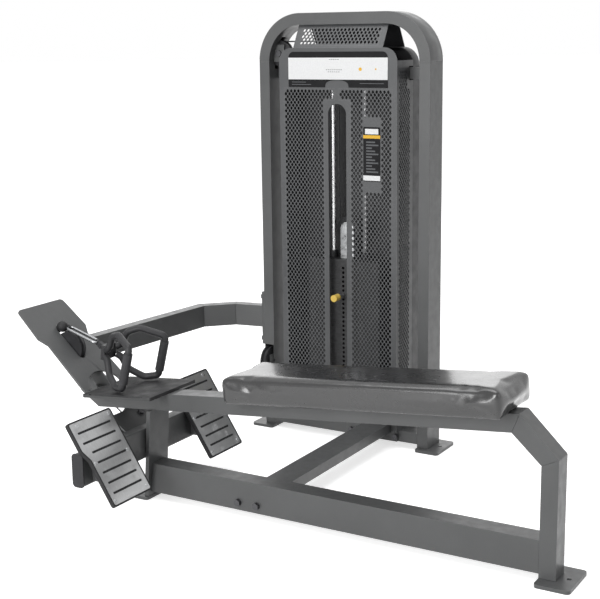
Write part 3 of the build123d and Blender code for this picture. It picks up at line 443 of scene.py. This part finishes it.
# painted parts with sawn or folded edges that get a small real radius
SOFT_EDGED = (
    "base_beam", "seat_beam", "rear_elbow", "rear_upright", "front_post", "floor_plates",
    "footrest_cross_tube", "boom_arm", "boom_bend", "boom_root", "cross_brace",
    "hoop_left_leg", "hoop_right_leg", "hoop_top", "tower_base_tube", "rod_cross_bar",
    "guard_plate", "guard_cheeks", "handle_tray", "footplate_ribs", "shroud_rear_cover",
    "near_footplate_backing", "far_footplate_backing", "footplate_treads",
    "cross_tube_end_caps", "head_plate", "turn_pulley_bracket", "tower_pulley_lugs",
)


EDGE_RADIUS = 0.0011
EDGE_ANGLE = math.radians(40)
WELD_GAP = 1e-5


def dress_cad():
    """Materials on every CAD node, and rounded edges on the fabricated ones."""
    for name, node in NODES.items():
        node.data.materials.clear()
        node.data.materials.append(NODE_LOOKS.get(name, PAINT))
    pin = NODES["selector_pin"]
    pin.data.materials[0] = pin_finish("selector_pin_finish", KNOB_EDGE)
    for name in SOFT_EDGED:
        node = NODES[name]
        weld = node.modifiers.new("weld", "WELD")
        weld.merge_threshold = WELD_GAP
        bevel = node.modifiers.new("edge_radius", "BEVEL")
        bevel.width = EDGE_RADIUS
        bevel.segments = 2
        bevel.limit_method = "ANGLE"
        bevel.angle_limit = EDGE_ANGLE
        bevel.harden_normals = True


# =============================== mesh helpers ======================================
def plane_matrix(origin_mm, u, v):
    """Local X is u, local Y is v, local Z is the outward normal."""
    normal = u.cross(v)
    matrix = Matrix((u, v, normal)).transposed().to_4x4()
    matrix.translation = Vector(origin_mm) * MM
    return matrix


def new_piece(name, mesh, material, body):
    """A new object of the model, riding on a body."""
    piece = bpy.data.objects.new(name, mesh)
    bpy.context.scene.collection.objects.link(piece)
    piece.data.materials.clear()
    piece.data.materials.append(material)
    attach(piece, body)
    return piece


def add_loop(curve, points):
    """A closed straight-sided outline in millimetres."""
    spline = curve.splines.new("POLY")
    spline.points.add(len(points) - 1)
    for point, (u, v) in zip(spline.points, points):
        point.co = (u * MM, v * MM, 0, 1)
    spline.use_cyclic_u = True


def filled(outer, holes, thickness_mm, bevel_mm=0.0):
    """A flat plate with holes, as a mesh centred on its own plane."""
    curve = bpy.data.curves.new("outline", "CURVE")
    curve.dimensions = "2D"
    curve.fill_mode = "BOTH"
    curve.extrude = (thickness_mm / 2 - bevel_mm) * MM
    curve.bevel_depth = bevel_mm * MM
    curve.bevel_resolution = 1
    curve.offset = -bevel_mm * MM
    for points in [outer] + holes:
        add_loop(curve, points)
    carrier = bpy.data.objects.new("outline", curve)
    bpy.context.scene.collection.objects.link(carrier)
    depsgraph = bpy.context.evaluated_depsgraph_get()
    mesh = bpy.data.meshes.new_from_object(carrier.evaluated_get(depsgraph))
    bpy.data.objects.remove(carrier)
    bpy.data.curves.remove(curve)
    return mesh


def arc(centre, radius, first, last, steps=8):
    """Points round an arc; angles in degrees."""
    turns = [math.radians(first + (last - first) * k / steps) for k in range(steps + 1)]
    return [(centre[0] + radius * math.cos(t), centre[1] + radius * math.sin(t)) for t in turns]


def rounded(u0, u1, v0, v1, low=0.0, top=0.0):
    """A rectangle with its lower and upper corners rounded."""
    points = []
    corners = (
        (u1, v0, low, -90, (-1, 1)),
        (u1, v1, top, 0, (-1, -1)),
        (u0, v1, top, 90, (1, -1)),
        (u0, v0, low, 180, (1, 1)),
    )
    for u, v, radius, start, (inward_u, inward_v) in corners:
        if radius:
            centre = (u + inward_u * radius, v + inward_v * radius)
            points += arc(centre, radius, start, start + 90)
        else:
            points.append((u, v))
    return points


def inside(points, u, v):
    """Whether a point is inside a polygon."""
    result = False
    for (u0, v0), (u1, v1) in zip(points, points[1:] + points[:1]):
        if (v0 > v) != (v1 > v) and u < u0 + (v - v0) * (u1 - u0) / (v1 - v0):
            result = not result
    return result


def perforate(bm, matrix, corner, half_u, half_v, region, solid, thickness_mm=SHEET):
    """Adds a sheet of staggered hexagonal holes to bm.

    The sheet is a lattice of diamonds, each with a hole in the middle. region is the
    outline of the perforated area counted in half pitches from corner. solid(u, v)
    is true where a diamond stays unpunched.
    """
    cols = max(i for i, j in region)
    rows = max(j for i, j in region)
    cells = {
        (i, j)
        for i in range(cols)
        for j in range(rows)
        if inside(region, i + 0.5, j + 0.5)
    }
    verts = {}

    def vert(u, v, side):
        """The one vertex at a point, on the front (1) or the back (-1)."""
        key = (round(u, 2), round(v, 2), side)
        if key not in verts:
            height = side * thickness_mm / 2
            verts[key] = bm.verts.new(matrix @ (Vector((u, v, height)) * MM))
        return verts[key]

    def face(points):
        """A front face and its twin at the back."""
        bm.faces.new([vert(u, v, 1) for u, v in points])
        bm.faces.new([vert(u, v, -1) for u, v in reversed(points)])

    def wall(points):
        """The cut edge round a hole."""
        for (u0, v0), (u1, v1) in zip(points, points[1:] + points[:1]):
            bm.faces.new([vert(u0, v0, 1), vert(u0, v0, -1), vert(u1, v1, -1), vert(u1, v1, 1)])

    for i in range(cols + 1):
        for j in range(rows + 1):
            if (i + j) % 2:
                continue
            u = corner[0] + i * half_u
            v = corner[1] + j * half_v
            tips = [(u + half_u, v), (u, v + half_v), (u - half_u, v), (u, v - half_v)]
            quarters = [(i, j), (i - 1, j), (i - 1, j - 1), (i, j - 1)]
            there = [quarter in cells for quarter in quarters]
            if not all(there):
                for k in range(4):
                    if there[k]:
                        face([(u, v), tips[k], tips[(k + 1) % 4]])
                continue
            if solid(u, v):
                face(tips)
                continue
            w, h, shoulder = HOLE_HALF_W, HOLE_HALF_H, HOLE_SHOULDER
            right, top, left, low = tips
            hole = [(u + w, v - shoulder), (u + w, v + shoulder), (u, v + h)]
            hole += [(u - w, v + shoulder), (u - w, v - shoulder), (u, v - h)]
            face([right, top, hole[2], hole[1]])
            face([top, left, hole[3], hole[2]])
            face([left, low, hole[5], hole[4]])
            face([low, right, hole[0], hole[5]])
            face([right, hole[1], hole[0]])
            face([left, hole[4], hole[3]])
            wall(list(reversed(hole)))


def outline_mm(corner, half_u, half_v, region):
    """A region counted in half pitches, as points in millimetres."""
    return [(corner[0] + i * half_u, corner[1] + j * half_v) for i, j in region]


def punched_sheet(bm, matrix, outer, openings, fields, solid=lambda u, v: False):
    """A sheet with plain edges round its perforated fields and openings."""
    holes = [outline_mm(*field) for field in fields]
    border = filled(outer, holes + openings, SHEET)
    border.transform(matrix)
    bm.from_mesh(border)
    bpy.data.meshes.remove(border)
    for field in fields:
        perforate(bm, matrix, *field, solid)


def finish_mesh(name, bm):
    """The finished bmesh as mesh data."""
    mesh = bpy.data.meshes.new(name)
    bm.to_mesh(mesh)
    bm.free()
    return mesh


# =============================== tower covers ======================================
def front_sheet(bm):
    """The front of the cover: two perforated fields, the slot between them."""
    middle = SHROUD_FRONT_Y + SHEET / 2
    matrix = plane_matrix((0, middle, 0), X_AXIS, Z_AXIS)
    left, right = TOWER_X - SHROUD_HALF, TOWER_X + SHROUD_HALF
    field_low = FRONT_LOW + MARGIN
    field_high = PLACARD[2] - PLACARD_GAP
    cols = FRONT_COLS
    half_u = (SHROUD_HALF - MARGIN - SLOT_HALF - SLOT_MARGIN) / cols
    rows = round((field_high - field_low) / HALF_PITCH_V)
    half_v = (field_high - field_low) / rows
    bridge = BRIDGE_COLS
    step = rows - BRIDGE_ROWS
    left_region = [(0, 0), (cols, 0), (cols, step), (cols + bridge, step)]
    left_region += [(cols + bridge, rows), (0, rows)]
    total = cols + bridge
    right_region = [(bridge, 0), (total, 0), (total, rows), (0, rows), (0, step), (bridge, step)]
    left_corner = (left + MARGIN, field_low)
    right_corner = (right - MARGIN - total * half_u, field_low)
    outer = rounded(left, right, FRONT_LOW, SHROUD_TOP, 0, CORNER_R)
    slot = rounded(TOWER_X - SLOT_HALF, TOWER_X + SLOT_HALF, SLOT_LOW, SLOT_TOP, SLOT_HALF, SLOT_HALF)
    fields = [
        (left_corner, half_u, half_v, left_region),
        (right_corner, half_u, half_v, right_region),
    ]
    left_pad, right_pad, low_pad, high_pad = LABEL_BACKING

    def solid(u, v):
        """The folded seam and the panel behind the label have no holes."""
        on_seam = abs(u - LABEL[0]) < SEAM_HALF and v > SEAM_LOW
        across = LABEL[0] - left_pad < u < LABEL[1] + right_pad
        return on_seam or (across and LABEL[2] - low_pad < v < LABEL[3] + high_pad)

    punched_sheet(bm, matrix, outer, [slot], fields, solid)


def side_sheet(bm, right_side):
    """One side of the cover, notched at the back for the cross bar; the left one is plain."""
    x = TOWER_X + (SHROUD_HALF - SHEET / 2) * (1 if right_side else -1)
    u_axis = Y_AXIS if right_side else -Y_AXIS
    turn = 1 if right_side else -1
    matrix = plane_matrix((x, 0, 0), u_axis, Z_AXIS)
    front = SHROUD_FRONT_Y + SHEET
    notch_y, notch_low, notch_high = BAR_NOTCH
    outline = [
        (front, SHROUD_LOW), (SIDE_BACK_Y, SHROUD_LOW), (SIDE_BACK_Y, notch_low),
        (notch_y, notch_low), (notch_y, notch_high), (SIDE_BACK_Y, notch_high),
        (SIDE_BACK_Y, SIDE_TOP), (front, SIDE_TOP),
    ]
    field_low, field_high = SIDE_FIELD
    rows = round((field_high - field_low) / HALF_PITCH_V)
    half_v = (field_high - field_low) / rows
    cols = SIDE_COLS
    narrow, narrow_rows = SIDE_NARROW
    step = rows - narrow_rows
    region = [(0, 0), (cols, 0), (cols, step), (narrow, step), (narrow, rows), (0, rows)]
    outer = [(u * turn, v) for u, v in outline]
    corner = (front + SIDE_MARGIN, field_low)
    fields = [(corner, SIDE_HALF_PITCH_U, half_v, region)] if right_side else []
    punched_sheet(bm, matrix, outer, [], fields)


def build_front_cover():
    """Front sheet and both side sheets, one folded piece of perforated steel."""
    bm = bmesh.new()
    front_sheet(bm)
    side_sheet(bm, True)
    side_sheet(bm, False)
    cover = new_piece("perforated_front_cover", finish_mesh("front_cover", bm), COVER_PAINT, "machine")
    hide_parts("shroud_front_cover")


def slope_sheet(bm, low_yz, high_yz):
    """The cap's perforated front slope, between its lower and upper edge (Y, Z)."""
    low, high = Vector((0, *low_yz)), Vector((0, *high_yz))
    along = (high - low).normalized()
    normal = X_AXIS.cross(along)
    origin = low + Vector((TOWER_X, 0, 0)) - normal * SHEET / 2
    matrix = plane_matrix(origin, X_AXIS, along)
    cols, rows = 42, 6
    half_u = 2 * (CAP_HALF - CAP_SIDE_MARGIN) / cols
    region = [(0, 0), (cols, 0), (cols, rows), (0, rows)]
    outer = rounded(-CAP_HALF, CAP_HALF, 0, (high - low).length)
    corner = (-cols * half_u / 2, CAP_LOW_MARGIN)
    punched_sheet(bm, matrix, outer, [], [(corner, half_u, CAP_HALF_PITCH_V, region)])


def build_cap():
    """The folded cap over the pulleys: a perforated front slope, a plain ridge and rear."""
    front = SHROUD_FRONT_Y + SHEET
    bm = bmesh.new()
    slope_sheet(bm, (front, SHROUD_TOP), (CAP_RIDGE_Y[0], CAP_TOP))
    ridge = filled(rounded(-CAP_HALF, CAP_HALF, *CAP_RIDGE_Y), [], SHEET)
    ridge.transform(plane_matrix((TOWER_X, 0, CAP_TOP - SHEET / 2), X_AXIS, Y_AXIS))
    bm.from_mesh(ridge)
    cap = new_piece("perforated_top_cap", finish_mesh("top_cap", bm), COVER_PAINT, "machine")
    bm = bmesh.new()
    low = Vector((0, REAR_BACK_Y, SHROUD_TOP))
    high = Vector((0, CAP_RIDGE_Y[1], CAP_TOP))
    along = (high - low).normalized()
    normal = (-X_AXIS).cross(along)
    origin = low + Vector((TOWER_X, 0, 0)) - normal * SHEET / 2
    back = filled(rounded(-CAP_HALF, CAP_HALF, 0, (high - low).length), [], SHEET)
    back.transform(plane_matrix(origin, -X_AXIS, along))
    bm.from_mesh(back)
    rear = new_piece("cap_rear_slope", finish_mesh("cap_rear_slope", bm), REAR_PAINT, "machine")
    for piece, paint in ((cap, "shroud_paint"), (rear, "rear_sheet")):
        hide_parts("shroud_top_panel")


# =============================== printed plates ====================================
# Millimetres. PLACARD_TAB is half width and rise; DASH is pitch, length and height;
# DASH_ROWS are width and height; LABEL_RULES is count, first height, pitch and thickness.
BOARD_DEPTH = 2.4
BOARD_LIFT = 1.3
INK_DEPTH = 0.3
INK_ON_BOARD = 2.6
LABEL_DEPTH = 1.0
LABEL_LIFT = 0.55
INK_ON_LABEL = 1.15
PLACARD_FOOTER = 26.0
PLACARD_HEADER = 20.0
PLACARD_TAB = (46.0, 25.0)
DASH = (8, 5, 1.8)
DASH_ROWS = ((64, 1309), (50, 1302), (40, 1343))
LABEL_HEAD = (1097, 1115)
LABEL_BAND = (1083, 1094)
LABEL_FOOT = (941, 958)
LABEL_RULES = (11, 968, 10, 5)


def front_plate(name, outers, depth_mm, lift_mm, material, bevel_mm=0.0):
    """Thin shapes lying on the front sheet; lift is their middle's distance from it."""
    matrix = plane_matrix((0, SHROUD_FRONT_Y - lift_mm, 0), X_AXIS, Z_AXIS)
    bm = bmesh.new()
    for outer in outers:
        mesh = filled(outer, [], depth_mm, bevel_mm)
        mesh.transform(matrix)
        bm.from_mesh(mesh)
        bpy.data.meshes.remove(mesh)
    piece = new_piece(name, finish_mesh(name, bm), material, "machine")
    return piece


def build_placard():
    """White board with a black header and footer; a tab of the sheet stands in the footer."""
    left, right, low, high = PLACARD
    footer_top = low + PLACARD_FOOTER
    header_low = high - PLACARD_HEADER
    tab_half, tab_rise = PLACARD_TAB
    tab = [
        (TOWER_X + tab_half * math.cos(t), low + tab_rise * math.sin(t) ** 0.6)
        for t in (math.pi * k / 16 for k in range(1, 16))
    ]
    base = [(left, low), (TOWER_X - tab_half, low)] + tab[::-1]
    base += [(TOWER_X + tab_half, low), (right, low), (right, footer_top), (left, footer_top)]
    footer = front_plate("placard_footer", [base], BOARD_DEPTH, BOARD_LIFT, BLACK_INK, 0.3)
    board = rounded(left, right, footer_top, header_low)
    face = front_plate("placard_board", [board], BOARD_DEPTH, BOARD_LIFT, WHITE_INK, 0.3)
    cap = rounded(left + 1, right - 1, header_low, high, 0, 19)
    header = front_plate("placard_header", [cap], BOARD_DEPTH, BOARD_LIFT, BLACK_INK, 0.3)
    dashes = []
    pitch, dash, thick = DASH
    for width, z in DASH_ROWS:
        start = TOWER_X - width / 2 - pitch
        for k in range(int(width / pitch)):
            dashes.append(rounded(start + pitch * k, start + pitch * k + dash, z, z + thick))
    marks = front_plate("placard_dashes", dashes, INK_DEPTH, INK_ON_BOARD, GREY_INK)
    dots = [arc((-124, 1312), 6, 0, 337.5, 15), arc((-66, 1312), 3, 0, 337.5, 15)]
    spots = front_plate("placard_spots", dots, INK_DEPTH, INK_ON_BOARD, AMBER_INK)
    rules = [
        rounded(left + 14, left + 90, low + 8, low + 10),
        rounded(left + 14, left + 70, low + 16, low + 18),
        rounded(right - 104, right - 14, low + 13, low + 15),
    ]
    lines = front_plate("placard_rules", rules, INK_DEPTH, INK_ON_BOARD, GREY_INK)
    for piece in (footer, face, header, marks, spots, lines):
        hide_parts("front_placard")


def build_label():
    """Tall exercise label: white head, amber band, dark body with grey rules."""
    left, right, low, high = LABEL
    base = [rounded(left, right, low, high, 3, 5)]
    parts = [front_plate("label_base", base, LABEL_DEPTH, LABEL_LIFT, BLACK_INK, 0.2)]
    head = [rounded(left + 7, right - 7, *LABEL_HEAD, 1, 1)]
    parts.append(front_plate("label_head", head, INK_DEPTH, INK_ON_LABEL, WHITE_INK))
    band = [rounded(left, right, *LABEL_BAND)]
    parts.append(front_plate("label_band", band, INK_DEPTH, INK_ON_LABEL, AMBER_INK))
    rules = []
    count, first, pitch, thick = LABEL_RULES
    for k in range(count):
        z = first + k * pitch
        short = 12 * (k % 3)
        rules.append(rounded(left + 11, right - 7 - short, z, z + thick))
    parts.append(front_plate("label_rules", rules, INK_DEPTH, INK_ON_LABEL, GREY_INK))
    foot = [rounded(left, right, *LABEL_FOOT, 2, 0)]
    parts.append(front_plate("label_foot", foot, INK_DEPTH, INK_ON_LABEL, WHITE_INK))
    for piece in parts:
        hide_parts("instruction_label")


# =============================== seat pad ==========================================
# metres: the skin starts PAD_SHRINK inside the CAD pad and moves out by PAD_CAP at most
PAD_SHRINK = 0.005
PAD_CAP = 0.007
PAD_EDGE = 0.009
PAD_VOXEL = 0.005
PAD_FLAT_ZONE = 0.012
PAD_REST_GAP = 0.0004
INFLATE_FRAMES = 20
SMOOTH_PASSES = 12


def seat_axes():
    """Along, across and up on the sloping seat."""
    slope = math.radians(SEAT_SLOPE)
    along = Vector((math.cos(slope), 0, math.sin(slope)))
    return along, Y_AXIS, Vector((-math.sin(slope), 0, math.cos(slope)))


def apply_modifier(piece, kind, **settings):
    """Adds a modifier, applies it and leaves none behind."""
    modifier = piece.modifiers.new("step", kind)
    for key, value in settings.items():
        setattr(modifier, key, value)
    bpy.ops.object.modifier_apply(modifier=modifier.name)


def inflate(piece):
    """Blows the skin up with cloth pressure; its result stays in the mesh."""
    cloth = piece.modifiers.new("cloth", "CLOTH")
    cloth.settings.use_pressure = True
    cloth.settings.uniform_pressure_force = 4
    cloth.settings.effector_weights.gravity = 0
    cloth.settings.tension_stiffness = 40
    cloth.settings.compression_stiffness = 40
    cloth.settings.bending_stiffness = 4
    for number in range(1, INFLATE_FRAMES + 1):
        bpy.context.scene.frame_set(number)
    bpy.ops.object.modifier_apply(modifier="cloth")
    bpy.context.scene.frame_set(1)


def build_pad():
    """The upholstered seat: a skin blown up over foam and board, flat underneath."""
    along, across, up = seat_axes()
    to_local = Matrix((along, across, up)).to_4x4()
    places = [
        to_local @ v.co for name in ("seat_pad", "seat_pad_board") for v in NODES[name].data.vertices
    ]
    low = Vector([min(p[k] for p in places) for k in range(3)])
    high = Vector([max(p[k] for p in places) for k in range(3)])
    centre = (low + high) / 2
    half = (high - low) / 2 - Vector((PAD_SHRINK, PAD_SHRINK, PAD_SHRINK))
    bm = bmesh.new()
    bmesh.ops.create_cube(bm, size=2)
    for v in bm.verts:
        v.co = centre + Vector([v.co[k] * half[k] for k in range(3)])
    bmesh.ops.bevel(bm, geom=bm.edges[:], offset=PAD_EDGE, segments=4, profile=0.5, affect="EDGES")
    pad = bpy.data.objects.new("seat_cushion", finish_mesh("seat_cushion", bm))
    bpy.context.scene.collection.objects.link(pad)
    bpy.context.view_layer.objects.active = pad
    pad.select_set(True)
    voxel = PAD_VOXEL
    apply_modifier(pad, "REMESH", mode="VOXEL", voxel_size=voxel)
    rest = [v.co.copy() for v in pad.data.vertices]
    inflate(pad)
    floor_z = low.z + PAD_REST_GAP
    for v, start in zip(pad.data.vertices, rest):
        move = v.co - start
        if move.length > PAD_CAP:
            move = move.normalized() * PAD_CAP
        v.co = start + move
        depth = min(1.0, max(0.0, (start.z - low.z - PAD_SHRINK) / PAD_FLAT_ZONE))
        if start.z < centre.z:
            v.co.z = floor_z + (v.co.z - floor_z) * depth
    apply_modifier(pad, "SMOOTH", factor=0.5, iterations=SMOOTH_PASSES)
    pad.data.transform(to_local.inverted())
    soft = pad.modifiers.new("subdivision", "SUBSURF")
    soft.levels = 1
    soft.render_levels = 1
    pad.data.polygons.foreach_set("use_smooth", [True] * len(pad.data.polygons))
    pad.data.materials.clear()
    pad.data.materials.append(LEATHER)
    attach(pad, "machine")
    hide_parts("seat_pad", "seat_pad_board")


# =============================== cable =============================================
# metres and degrees; the stop's half sizes, depth, corner and edge are millimetres
WIRE_R = 0.0025
CABLE_R = 0.048
TOWER_R = 0.040
EXIT = Vector((-0.7902, BENCH_Y * MM, 0.447))
TURN = Vector((-0.564, -0.234, 0.2335))
BALL = Vector((-0.823, BENCH_Y * MM, 0.511))
PULL_ANGLE = math.radians(16.7)
TOP_PULLEY_Z = 1.364
FLOAT_Z = 0.757
ANCHOR_Z = 1.247
GUARD_ANGLE = 41.7
GUARD_TOP = Vector((-0.915, BENCH_Y * MM, 0.575))
STOP_ALONG = 0.101
STOP_BEHIND = 0.0085
STOP_HALF = (20, 15)
STOP_DEPTH = 5
STOP_CORNER = 6
STOP_EDGE = 0.8


def turn_round(centre, first, last, radius, steps=14):
    """Points where the wire lies on a wheel, between two directions from its axis."""
    angle = first.angle(last)
    points = []
    for k in range(steps + 1):
        share = k / steps
        direction = first * math.sin((1 - share) * angle) + last * math.sin(share * angle)
        points.append(centre + direction.normalized() * radius)
    return points


def wire(name, points, body):
    """A stretch of the coated wire rope as a round tube."""
    curve = bpy.data.curves.new(name, "CURVE")
    curve.dimensions = "3D"
    curve.bevel_depth = WIRE_R
    curve.bevel_resolution = 3
    curve.use_fill_caps = True
    spline = curve.splines.new("POLY")
    spline.points.add(len(points) - 1)
    for point, co in zip(spline.points, points):
        point.co = (*co, 1)
    carrier = bpy.data.objects.new(name, curve)
    bpy.context.scene.collection.objects.link(carrier)
    depsgraph = bpy.context.evaluated_depsgraph_get()
    mesh = bpy.data.meshes.new_from_object(carrier.evaluated_get(depsgraph))
    bpy.data.objects.remove(carrier)
    mesh.polygons.foreach_set("use_smooth", [True] * len(mesh.polygons))
    piece = new_piece(name, mesh, JACKET, body)
    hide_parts("pull_cable")
    return piece


def build_cable():
    """The taut wire over its wheels, in the stretches that move differently."""
    reach = TURN - EXIT
    fall = math.atan2(-reach.z, reach.x) - math.asin(CABLE_R / math.hypot(reach.x, reach.z))
    fall_dir = Vector((math.cos(fall), 0, -math.sin(fall)))
    fall_up = Vector((math.sin(fall), 0, math.cos(fall)))
    tangent_dir = Vector((-math.sin(PULL_ANGLE), 0, math.cos(PULL_ANGLE)))
    leg_x = TURN.x + CABLE_R * math.cos(fall)
    leg_low = TURN.z - CABLE_R * math.sin(fall)
    leg = Vector((leg_x, TOWER_Y * MM - CABLE_R, leg_low + CABLE_R))
    hoop = Vector((leg_x + TOWER_R, TOWER_Y * MM, TOP_PULLEY_Z))
    top = Vector((TOWER_X * MM - 2 * TOWER_R, TOWER_Y * MM, TOP_PULLEY_Z))
    floating = Vector((TOWER_X * MM, TOWER_Y * MM, FLOAT_Z))
    back = -X_AXIS
    route = turn_round(EXIT, tangent_dir, back, CABLE_R)
    route += turn_round(EXIT, back, -fall_up, CABLE_R)[1:]
    route += turn_round(TURN, -Y_AXIS, fall_dir, CABLE_R)
    route += turn_round(leg, -Z_AXIS, Y_AXIS, CABLE_R)
    route += turn_round(hoop, -X_AXIS, Z_AXIS, TOWER_R)
    route += turn_round(top, Z_AXIS, X_AXIS, TOWER_R)
    wire("cable_fixed_route", route, "machine")
    low_arc = turn_round(floating, -X_AXIS, -Z_AXIS, TOWER_R)
    low_arc += turn_round(floating, -Z_AXIS, X_AXIS, TOWER_R)[1:]
    wire("cable_floating_turn", low_arc, "carriage")
    build_strand("cable_left_strand", floating.x - TOWER_R, TOP_PULLEY_Z)
    build_strand("cable_right_strand", floating.x + TOWER_R, ANCHOR_Z)
    build_stub(EXIT + tangent_dir * CABLE_R, tangent_dir)


def build_strand(name, x, high):
    """An upright stretch above the floating wheel, at its rest length and with mesh data of its own; the
    real one shortens as the stack rises.
    """
    foot = Vector((x, TOWER_Y * MM, FLOAT_Z))
    head = Vector((x, TOWER_Y * MM, high))
    strand = wire(name, [foot, head], "machine")
    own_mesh(strand)


def build_stub(start, tangent_dir):
    """The short end of the wire, from the exit wheel to the ball, at rest; on the machine this end pays
    out.
    """
    sides = 12
    bm = bmesh.new()
    rings = []
    for centre in (start, BALL):
        ring = []
        for k in range(sides):
            turn = 2 * math.pi * k / sides
            spoke = Y_AXIS * math.cos(turn) + tangent_dir * math.sin(turn)
            ring.append(bm.verts.new(centre + spoke * WIRE_R))
        rings.append(ring)
    for k in range(sides):
        n = (k + 1) % sides
        bm.faces.new([rings[0][k], rings[0][n], rings[1][n], rings[1][k]])
    bm.faces.new(rings[0])
    bm.faces.new(list(reversed(rings[1])))
    for f in bm.faces:
        f.smooth = True
    mesh = finish_mesh("cable_end_stub", bm)
    stub = bpy.data.objects.new("cable_end_stub", mesh)
    bpy.context.scene.collection.objects.link(stub)
    stub.data.materials.append(JACKET)
    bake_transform(stub)
    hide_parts("pull_cable")


def build_slot_stop():
    """A rubber pad behind the upper end of the guard's slot, where the ball rests."""
    slope = math.radians(GUARD_ANGLE)
    down = Vector((math.cos(slope), 0, -math.sin(slope)))
    outward = Vector((math.sin(slope), 0, math.cos(slope)))
    centre = GUARD_TOP + down * STOP_ALONG - outward * STOP_BEHIND
    half_u, half_v = STOP_HALF
    outline = rounded(-half_u, half_u, -half_v, half_v, STOP_CORNER, STOP_CORNER)
    mesh = filled(outline, [], STOP_DEPTH, STOP_EDGE)
    mesh.transform(plane_matrix(centre / MM, Y_AXIS, -down))
    piece = new_piece("slot_stop", mesh, RUBBER, "machine")


# =============================== stage, light, camera ==============================
def where_seen(nodes, links, seen, otherwise):
    """A number for what is seen, directly or mirrored, and another for what only lights others."""
    ray = nodes.new("ShaderNodeLightPath")
    either = nodes.new("ShaderNodeMath")
    either.operation = "MAXIMUM"
    links.new(ray.outputs["Is Camera Ray"], either.inputs[0])
    links.new(ray.outputs["Is Glossy Ray"], either.inputs[1])
    node = nodes.new("ShaderNodeMapRange")
    node.inputs["To Min"].default_value = otherwise
    node.inputs["To Max"].default_value = seen
    links.new(either.outputs["Value"], node.inputs["Value"])
    return node.outputs["Result"]


def build_floor():
    """A plain pale floor that throws little light up under the machine."""
    look = Look("pale_floor", (0.9, 0.9, 0.9), 0.75, specular=0.1)
    mottle = look.mix(look.noise(1.5, 2), (0.89, 0.89, 0.89), (0.91, 0.91, 0.91))
    seen = where_seen(look.nodes, look.links, 1.0, 0.0)
    look.colour(look.mix(seen, (FLOOR_BOUNCE, FLOOR_BOUNCE, FLOOR_BOUNCE), mottle))
    look.shader.inputs["Emission Color"].default_value = (1, 1, 1, 1)
    glow = where_seen(look.nodes, look.links, FLOOR_GLOW, 0.0)
    look.links.new(glow, look.shader.inputs["Emission Strength"])
    bm = bmesh.new()
    bmesh.ops.create_circle(bm, cap_ends=True, radius=FLOOR_RADIUS, segments=128)
    mesh = finish_mesh("floor", bm)
    floor = bpy.data.objects.new("studio_floor", mesh)
    floor.location = (0, 0, -0.0005)
    bpy.context.scene.collection.objects.link(floor)
    floor.data.materials.append(look.material)


def area_light(name, place, target, size, watts):
    """A square soft box aimed at a point."""
    data = bpy.data.lights.new(name, "AREA")
    data.shape = "SQUARE"
    data.size = size
    data.energy = watts
    lamp = bpy.data.objects.new(name, data)
    lamp.location = place
    lamp.rotation_euler = (Vector(target) - Vector(place)).to_track_quat("-Z", "Y").to_euler()
    bpy.context.scene.collection.objects.link(lamp)


def build_lights():
    """A white room with soft boxes overhead, in front, on the right and behind the machine."""
    world = bpy.data.worlds.new("studio")
    bpy.context.scene.world = world
    world.use_nodes = True
    nodes, links = world.node_tree.nodes, world.node_tree.links
    nodes["Background"].inputs["Color"].default_value = (1, 1, 1, 1)
    strength = where_seen(nodes, links, 1.0, ROOM_LIGHT)
    links.new(strength, nodes["Background"].inputs["Strength"])
    bpy.context.scene.view_settings.view_transform = "Standard"
    area_light("overhead", (-0.3, -0.4, 4.2), (0, 0, 0.4), 3.0, 80)
    area_light("front", (-0.4, -5.2, 1.9), (0, 0, 0.5), 2.6, 190)
    area_light("right", (5.2, -0.6, 1.9), (0, 0, 0.5), 2.6, 25)
    area_light("behind", (-3.2, 5.4, 2.6), (0, 0, 0.6), 4.0, 40)


def build_camera():
    """A camera at the place and angle that the constants give."""
    data = bpy.data.cameras.new("camera")
    data.lens = CAMERA_LENS
    data.sensor_width = 36
    camera = bpy.data.objects.new("camera", data)
    bpy.context.scene.collection.objects.link(camera)
    yaw, pitch = CAMERA_YAW, CAMERA_PITCH
    forward = Vector((-math.sin(yaw) * math.cos(pitch), math.cos(yaw) * math.cos(pitch), -math.sin(pitch)))
    right = Vector((math.cos(yaw), math.sin(yaw), 0))
    up = right.cross(forward)
    level_right = right * math.cos(CAMERA_ROLL) + up * math.sin(CAMERA_ROLL)
    level_up = up * math.cos(CAMERA_ROLL) - right * math.sin(CAMERA_ROLL)
    matrix = Matrix((level_right, level_up, -forward)).transposed().to_4x4()
    matrix.translation = CAMERA_AT
    camera.matrix_world = matrix
    bpy.context.scene.camera = camera


build_camera()
build_lights()
build_floor()
dress_cad()
build_front_cover()
build_cap()
build_placard()
build_label()
build_pad()
build_cable()
build_slot_stop()
